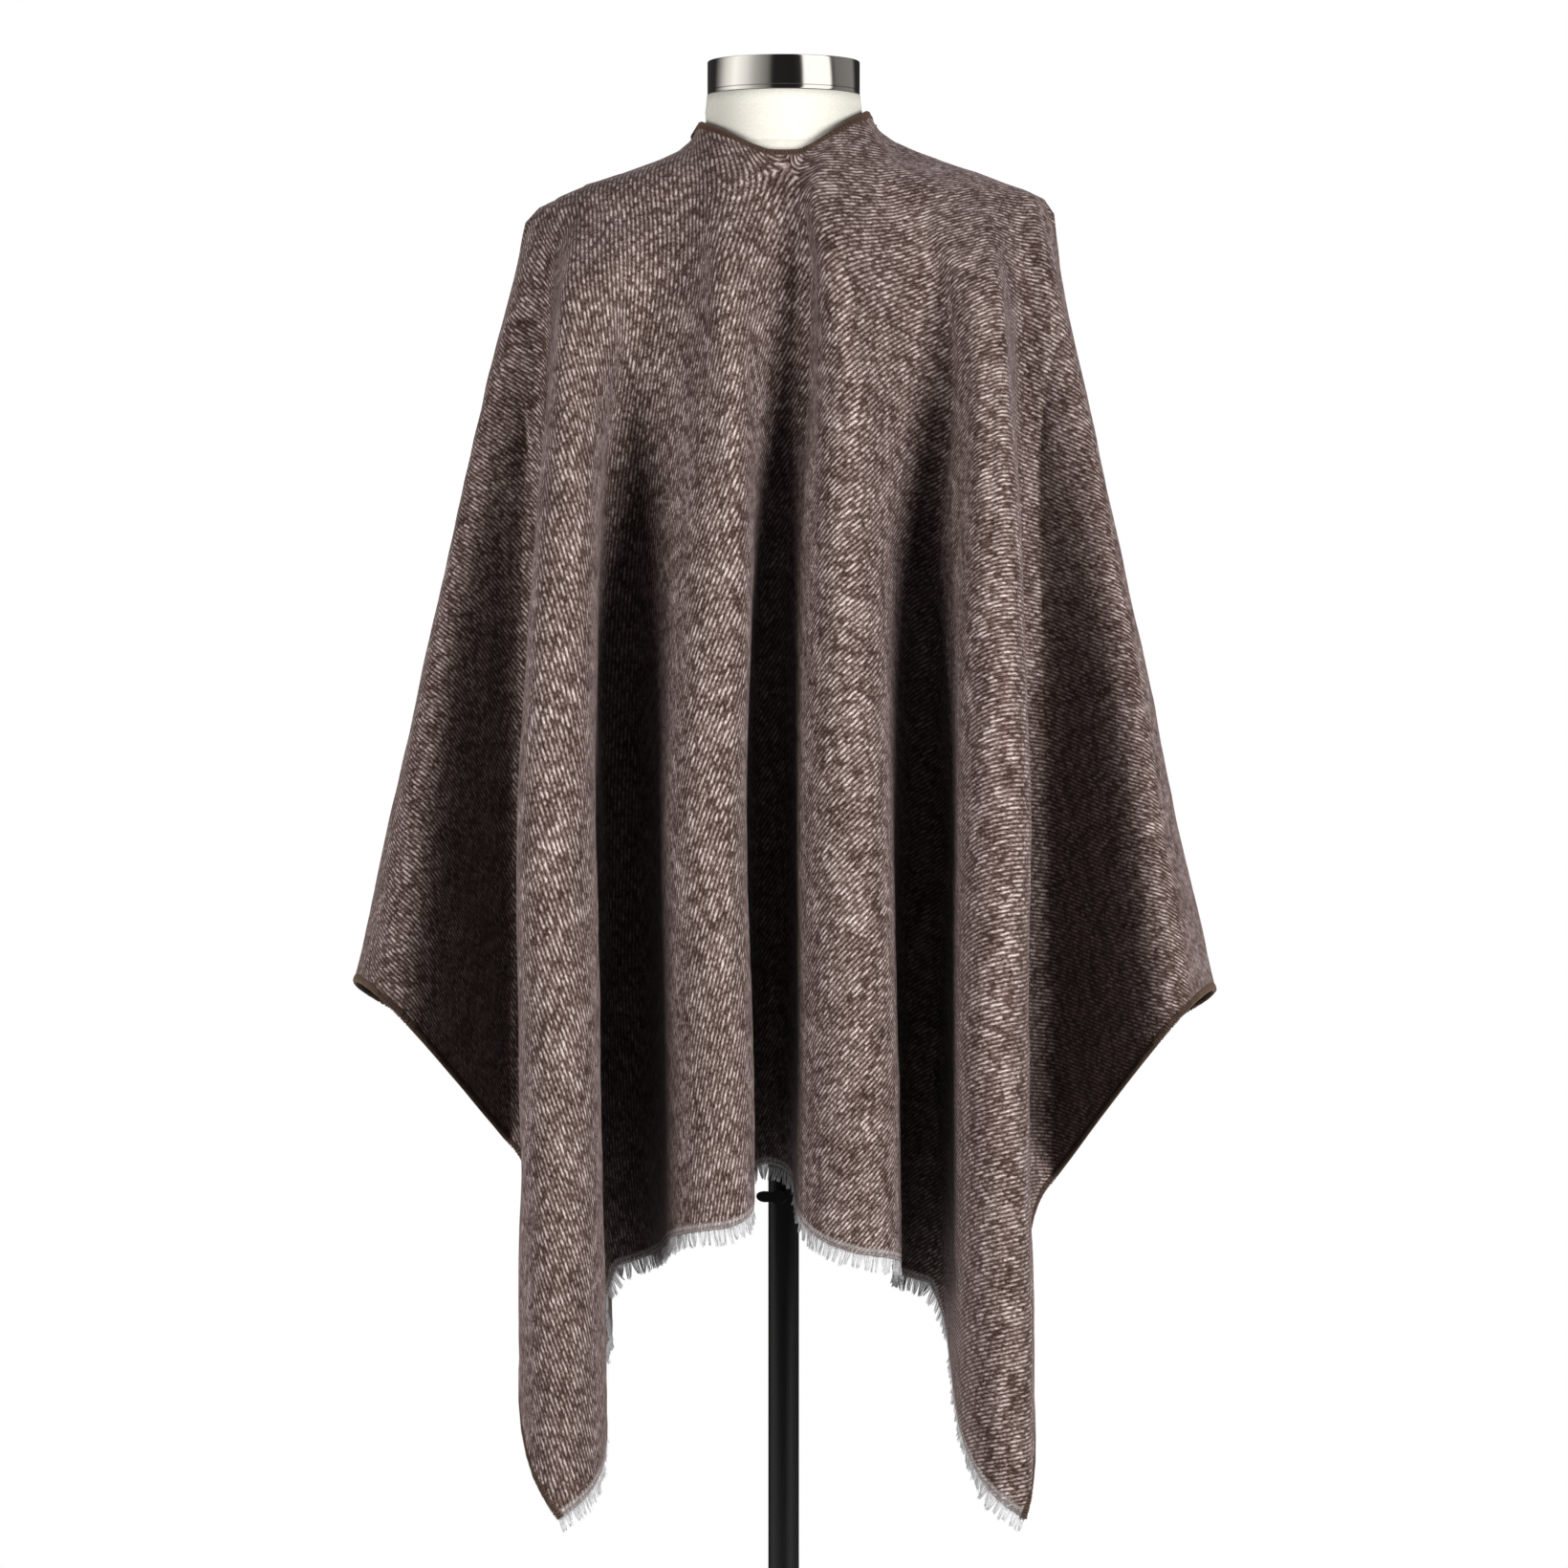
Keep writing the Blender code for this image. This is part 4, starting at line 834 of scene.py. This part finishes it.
shader.inputs["Sheen Roughness"].default_value = 0.40
shader.inputs["Sheen Tint"].default_value = (0.55, 0.47, 0.49, 1)
shader.inputs["Specular IOR Level"].default_value = 0.12

wrap_mesh.materials.append(brown_twill)
wrap_twill = bpy.data.objects.new("wrap_twill", wrap_mesh)
bpy.context.scene.collection.objects.link(wrap_twill)
wall = wrap_twill.modifiers.new("wall", "SOLIDIFY")
wall.thickness = CLOTH_WALL
wall.offset = 0
wall.use_even_offset = False
wall.use_rim = True
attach(wrap_twill, "form")
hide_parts("wrap_cloth")


# Overlocked edges: dark brown thread sewn over the two side edges and round the slit and nape, in loops
# that lie close together on both faces of the cloth.
LOOP_PITCH = 0.0015
LOOP_REACH = 0.0046
LOOP_RADIUS = 0.00052
LOOP_RISE = 0.0003
LOOP_SIDES = 4


def edge_walk(numbers, inner):
    """A line of the cloth's vertices with the way into the cloth: run, points, facing and inward arrays."""
    points = shape[numbers]
    run = np.concatenate(([0], np.cumsum(np.linalg.norm(np.diff(points, axis=0), axis=1))))
    along = np.gradient(points, axis=0)
    inward = np.cross(normals[numbers], along)
    into = shape[inner] - points
    inward *= np.sign((inward * into).sum(axis=1, keepdims=True))
    inward /= np.linalg.norm(inward, axis=1, keepdims=True) + 1e-12
    return run, points, normals[numbers], inward


def stations(walk, pitch, first=0.0):
    """Evenly spaced places along an edge."""
    run, *lines = walk
    at = np.arange(first, run[-1], pitch)
    found = [np.stack([np.interp(at, run, line[:, k]) for k in range(3)], axis=1) for line in lines]
    for line in found[1:]:
        line /= np.linalg.norm(line, axis=1, keepdims=True) + 1e-12
    return at, found[0], found[1], found[2]


def thread_mesh(name, paths, radii, facing, sides):
    """Many threads as one mesh: runs of points, a radius for each point of a run, and the way each faces."""
    paths = np.asarray(paths)
    count, steps, _ = paths.shape
    along = np.gradient(paths, axis=1)
    along /= np.linalg.norm(along, axis=2, keepdims=True) + 1e-12
    cross = np.cross(along, facing[:, None, :])
    cross /= np.linalg.norm(cross, axis=2, keepdims=True) + 1e-12
    other = np.cross(along, cross)
    turns = 2 * np.pi * np.arange(sides) / sides
    ring = cross[:, :, None, :] * np.cos(turns)[:, None] + other[:, :, None, :] * np.sin(turns)[:, None]
    points = paths[:, :, None, :] + ring * np.asarray(radii)[None, :, None, None]
    number = np.arange(count * steps * sides).reshape(count, steps, sides)
    one, other_row = number[:, :-1], number[:, 1:]
    walls = np.stack([one, np.roll(one, -1, axis=2), np.roll(other_row, -1, axis=2), other_row], axis=-1)
    faces = walls.reshape(-1, 4).tolist() + number[:, 0, ::-1].tolist() + number[:, -1].tolist()
    mesh = bpy.data.meshes.new(name)
    mesh.from_pydata(points.reshape(-1, 3), [], faces)
    mesh.shade_smooth()
    return mesh


def on_form(name, mesh, paint):
    """A piece of the garment, riding on the form."""
    mesh.materials.append(paint)
    made = bpy.data.objects.new(name, mesh)
    bpy.context.scene.collection.objects.link(made)
    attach(made, "form")
    return made


def overlock(name, walk, rng):
    """Loops over an edge, each from the outer face round the edge to the inner face."""
    at, points, out, inward = stations(walk, LOOP_PITCH)
    along = np.gradient(points, axis=0)
    along /= np.linalg.norm(along, axis=1, keepdims=True) + 1e-12
    half = CLOTH_WALL / 2 + LOOP_RISE
    reach = LOOP_REACH * np.array([1 + 0.16 * (rng.random() - 0.5) for _ in at])
    slide = LOOP_PITCH * np.array([0.5 * (rng.random() - 0.5) for _ in at])
    profile = ((1.00, 0.72, -0.30), (0.55, 1.08, -0.12), (0.08, 1.02, 0.00), (-0.17, 0.00, 0.10),
               (0.08, -1.02, 0.20), (0.55, -1.08, 0.35), (1.00, -0.72, 0.55))
    paths = np.stack([points + inward * (reach * into)[:, None] + out * half * rise
                      + along * (LOOP_PITCH * shift + slide)[:, None]
                      for into, rise, shift in profile], axis=1)
    mesh = thread_mesh(name, paths, [LOOP_RADIUS] * len(profile), along, LOOP_SIDES)
    return on_form(name, mesh, dark_thread)


dark_thread, tree, shader = finish("dark_thread", (0.060, 0.038, 0.028), 0.85)
thread_fuzz = add(tree, "ShaderNodeTexNoise", {"Scale": 1400.0, "Detail": 3.0})
join(tree, coloured(tree, thread_fuzz.outputs["Fac"],
                    ((0.34, (0.038, 0.024, 0.017)), (0.52, (0.092, 0.062, 0.046)),
                                                       (0.72, (0.190, 0.140, 0.112)))), shader, "Base Color")
thread_bump = add(tree, "ShaderNodeBump", {"Height": thread_fuzz.outputs["Fac"], "Strength": 0.4,
                                           "Distance": 0.0003})
join(tree, thread_bump.outputs["Normal"], shader, "Normal")
shader.inputs["Sheen Weight"].default_value = 0.3
shader.inputs["Sheen Tint"].default_value = (0.5, 0.42, 0.38, 1)

rng = random.Random(7)
sewn, edge_walks = [], []
for label, grid, rows in (("left", left_grid, LEFT_FOLDS), ("right", right_grid, RIGHT_FOLDS)):
    span = range(fold_column(rows, "back_tail"), fold_column(rows, "front_tail") + 1)
    walk = edge_walk([grid[c][-1] for c in span], [grid[c][-2] for c in span])
    edge_walks.append(walk)
    sewn.append(overlock("side_overlock_" + label, walk, rng))

slit, slit_inner = [], []
for grid, rows, order in ((left_grid, LEFT_FOLDS, 1), (right_grid, RIGHT_FOLDS, -1)):
    last = len(grid) - 1
    neck_front, neck_back = fold_column(rows, "front_valley"), fold_column(rows, "back_valley")
    edge = [(grid[last][row], grid[last - 1][row]) for row in range(CLOTH_ROWS, 0, -1)]
    edge += [(grid[c][0], grid[c][1]) for c in range(last, neck_front, -1)]
    edge += [(grid[c][0], grid[c][1]) for c in range(neck_back, 0 if order < 0 else -1, -1)]
    edge = edge[::order]
    slit += [pair[0] for pair in edge]
    slit_inner += [pair[1] for pair in edge]
edge_walks.append(edge_walk(slit, slit_inner))
sewn.append(overlock("slit_overlock", edge_walks[-1], rng))


def measure_from(name, walks):
    """Gives each vertex of the cloth its distance from these edges, for the cloth's colour there."""
    marks = np.concatenate([stations(walk, LOOP_PITCH)[1] for walk in walks])
    tree = KDTree(len(marks))
    for k, mark in enumerate(marks):
        tree.insert(mark, k)
    tree.balance()
    wrap_mesh.attributes.new(name, "FLOAT", "POINT").data.foreach_set("value",
                                                                      [tree.find(p)[2] for p in shape])


measure_from("from_overlock", edge_walks)


# Hem sewing: two rows of dark machine stitches just above each fringed hem, seen on both faces.
STITCH_ROWS = (0.0021, 0.0052)
STITCH_PITCH = 0.0030
STITCH_SHARE = 0.70
STITCH_RADIUS = 0.00032
STITCH_RISE = 0.00012


def hem_walk(grid, first, last):
    span = range(first, last + 1)
    return edge_walk([grid[c][-1] for c in span], [grid[c][-2] for c in span])


def end_to_end(one, other):
    """Two walks joined where they meet."""
    return (np.concatenate((one[0], one[0][-1] + other[0][1:])),
            *(np.concatenate((a, b[1:])) for a, b in zip(one[1:], other[1:])))


def turned_round(walk):
    run, *lines = walk
    return (run[-1] - run[::-1], *(line[::-1] for line in lines))


left_back = hem_walk(left_grid, 0, fold_column(LEFT_FOLDS, "back_tail"))
right_back = hem_walk(right_grid, 0, fold_column(RIGHT_FOLDS, "back_tail"))
hems = (
    ("back", end_to_end(turned_round(left_back), right_back), "fringe_back"),
    ("front_left", hem_walk(left_grid, fold_column(LEFT_FOLDS, "front_tail"), len(left_grid) - 1),
     "fringe_front_left"),
    ("front_right", hem_walk(right_grid, fold_column(RIGHT_FOLDS, "front_tail"), len(right_grid) - 1),
     "fringe_front_right"),
)
measure_from("from_hem", [walk for _, walk, _ in hems])
for label, walk, _ in hems:
    paths, ways = [], []
    for into in STITCH_ROWS:
        at, points, out, inward = stations(walk, STITCH_PITCH)
        along = np.gradient(points, axis=0)
        along /= np.linalg.norm(along, axis=1, keepdims=True) + 1e-12
        for face in (1, -1):
            rise = face * (CLOTH_WALL / 2 + STITCH_RISE)
            half = along * (STITCH_PITCH * STITCH_SHARE / 2)
            middle = points + inward * into + out * rise
            ends = (middle - half - out * (face * STITCH_RADIUS), middle,
                    middle + half - out * (face * STITCH_RADIUS))
            paths.append(np.stack(ends, axis=1))
            ways.append(out)
    mesh = thread_mesh("hem_stitches_" + label, np.concatenate(paths), [STITCH_RADIUS * 0.7, STITCH_RADIUS,
                                                                       STITCH_RADIUS * 0.7],
                                                                       np.concatenate(ways), 4)
    sewn.append(on_form("hem_stitches_" + label, mesh, dark_thread))


# Fringe: the pale warp ends left free under each hem, in soft locks that lean together and curl a little.
YARN_PITCH = 0.00062
YARN_RADIUS = 0.00030
YARN_LENGTH = 0.0128
YARN_STEPS = 5
LOCK_WIDTH = (0.0022, 0.0058)
LOCK_GATHER = 0.48
YARN_CURL = 0.0016

pale_yarn, tree, shader = finish("pale_yarn", (0.74, 0.735, 0.74), 0.8)
yarn_tone = add(tree, "ShaderNodeTexNoise", {"Scale": 420.0, "Detail": 2.0})
join(tree, coloured(tree, yarn_tone.outputs["Fac"], ((0.36, (0.36, 0.355, 0.365)),
                                                     (0.60, (0.56, 0.555, 0.565)))),
     shader, "Base Color")
shader.inputs["Subsurface Weight"].default_value = 0.25
shader.inputs["Subsurface Radius"].default_value = (0.003, 0.003, 0.003)
shader.inputs["Sheen Weight"].default_value = 0.3

rng = random.Random(23)
for label, walk, node in hems:
    at, points, out, inward = stations(walk, YARN_PITCH)
    locks = [at[0]]
    while locks[-1] < at[-1]:
        locks.append(locks[-1] + rng.uniform(*LOCK_WIDTH))
    lock_of = np.searchsorted(locks, at, side="right") - 1
    lock_length = np.array([YARN_LENGTH * rng.uniform(0.80, 1.0) for _ in locks])
    lock_lean = np.array([rng.uniform(-0.0022, 0.0022) for _ in locks])
    lock_curl = np.array([rng.uniform(-1, 1) for _ in locks])
    middle = np.array([at[lock_of == k].mean() if (lock_of == k).any() else 0 for k in range(len(locks))])
    along = np.gradient(points, axis=0)
    along /= np.linalg.norm(along, axis=1, keepdims=True) + 1e-12
    fall = -inward * 0.75 + np.array((0, 0, -0.45))
    fall /= np.linalg.norm(fall, axis=1, keepdims=True)
    length = lock_length[lock_of] * np.array([rng.uniform(0.86, 1.0) for _ in at])
    gather = (middle[lock_of] - at) * LOCK_GATHER + lock_lean[lock_of]
    curl = YARN_CURL * (lock_curl[lock_of] + np.array([rng.uniform(-0.5, 0.5) for _ in at]))
    depth = np.array([rng.uniform(-0.5, 0.5) for _ in at]) * CLOTH_WALL * 0.6
    steps = []
    for k in range(YARN_STEPS):
        share = k / (YARN_STEPS - 1)
        steps.append(points + fall * (length * share)[:, None]
                     + along * (gather * share ** 1.6)[:, None]
                     + out * (depth + curl * share ** 2)[:, None])
    radii = [YARN_RADIUS * (1 - 0.35 * k / (YARN_STEPS - 1)) for k in range(YARN_STEPS)]
    mesh = thread_mesh("yarn_fringe_" + label, np.stack(steps, axis=1), radii, out, 3)
    fringe = on_form("yarn_fringe_" + label, mesh, pale_yarn)
    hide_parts(node)
    sewn.append(fringe)


# Floor: a plain pale floor under the stand, which ends before it comes into the camera's view.
FLOOR_RADIUS = 1.3
FLOOR_SIDES = 128
pale_floor, tree, shader = finish("pale_floor", (0.86, 0.86, 0.86), 0.75)
bm = bmesh.new()
bmesh.ops.create_circle(bm, cap_ends=True, radius=FLOOR_RADIUS, segments=FLOOR_SIDES)
floor_mesh = bpy.data.meshes.new("floor")
bm.to_mesh(floor_mesh)
bm.free()
floor_mesh.materials.append(pale_floor)
floor = bpy.data.objects.new("floor", floor_mesh)
bpy.context.scene.collection.objects.link(floor)


# Studio light: a white surround, broad soft lights from the viewer's side and a weaker pair behind.
# What glossy things reflect is a ring of bright screens with dark gaps, given by turn from straight back.
GLOSSY_RING = ((-180, 0.10), (-128, 0.06), (-118, 0.35), (-100, 1.05), (-80, 1.50), (-60, 1.15), (-45, 0.70),
               (-24, 0.34), (-17, 0.05), (28, 0.04), (31, 1.65), (76, 1.65), (80, 0.08), (88, 0.34),
               (130, 0.42),
               (140, 0.06))
SURROUND_LEVEL = 0.01
world = bpy.data.worlds.new("studio")
bpy.context.scene.world = world
world.use_nodes = True
tree = world.node_tree
tree.nodes.clear()
ray = add(tree, "ShaderNodeLightPath")
where = add(tree, "ShaderNodeTexCoord")
split = add(tree, "ShaderNodeSeparateXYZ", {"Vector": where.outputs["Generated"]})
backward = add(tree, "ShaderNodeMath", {0: split.outputs["Y"], 1: -1.0}, operation="MULTIPLY")
turn = add(tree, "ShaderNodeMath", {0: split.outputs["X"], 1: backward.outputs["Value"]}, operation="ARCTAN2")
turn_share = add(tree, "ShaderNodeMapRange", {"Value": turn.outputs["Value"], "From Min": -math.pi,
                                              "From Max": math.pi})
ring = coloured(tree, turn_share.outputs["Result"],
                [((degrees + 180) / 360, (level, level * 0.99, level * 0.97))
                 for degrees, level in GLOSSY_RING])
reflected = add(tree, "ShaderNodeBackground", {"Color": ring, "Strength": 1.0})
surround = add(tree, "ShaderNodeBackground", {"Color": (1, 1, 1, 1), "Strength": SURROUND_LEVEL})
seen = add(tree, "ShaderNodeBackground", {"Color": (1, 1, 1, 1), "Strength": 1.0})
lit = add(tree, "ShaderNodeMixShader", {"Fac": ray.outputs["Is Glossy Ray"],
                                        1: surround.outputs["Background"],
                                        2: reflected.outputs["Background"]})
all_rays = add(tree, "ShaderNodeMixShader", {"Fac": ray.outputs["Is Camera Ray"], 1: lit.outputs["Shader"],
                                             2: seen.outputs["Background"]})
add(tree, "ShaderNodeOutputWorld", {"Surface": all_rays.outputs["Shader"]})

LIGHTS = (  # name, turn from straight back, distance, height, width and height of the panel, watts
    ("right_panel", 42, 2.0, 1.30, 0.9, 0.9, 71),
    ("left_panel", -40, 2.0, 1.30, 0.9, 0.9, 53),
    ("top_panel", 25, 0.5, 2.45, 0.8, 0.6, 5),
    ("front_right_panel", 142, 2.2, 1.10, 0.7, 1.0, 30),
    ("front_left_panel", -140, 2.2, 1.10, 0.7, 1.0, 30),
)
LIGHT_AIM = Vector((0, 0, 1.15))
for name, degrees, away, height, across, tall, watts in LIGHTS:
    lamp = bpy.data.lights.new(name, "AREA")
    lamp.shape = "RECTANGLE"
    lamp.size, lamp.size_y = across, tall
    lamp.energy = watts
    made = bpy.data.objects.new(name, lamp)
    made.location = (away * math.sin(math.radians(degrees)), -away * math.cos(math.radians(degrees)), height)
    made.rotation_euler = (LIGHT_AIM - made.location).to_track_quat("-Z", "Y").to_euler()
    made.visible_glossy = False
    bpy.context.scene.collection.objects.link(made)

bpy.context.scene.view_settings.view_transform = "Standard"
bpy.context.scene.view_settings.gamma = 0.78


# Camera: level with the middle of the wrap and straight behind it, with a long lens.
CAMERA_PLACE = (0.002, -5.1, 1.010)
CAMERA_LENS = 160
CAMERA_SHIFT = -0.0015
camera = bpy.data.cameras.new("camera")
camera.lens = CAMERA_LENS
camera.sensor_width = 36
camera.shift_x = CAMERA_SHIFT
viewer = bpy.data.objects.new("camera", camera)
viewer.location = CAMERA_PLACE
viewer.rotation_euler = (math.radians(90), 0, 0)
bpy.context.scene.collection.objects.link(viewer)
bpy.context.scene.camera = viewer
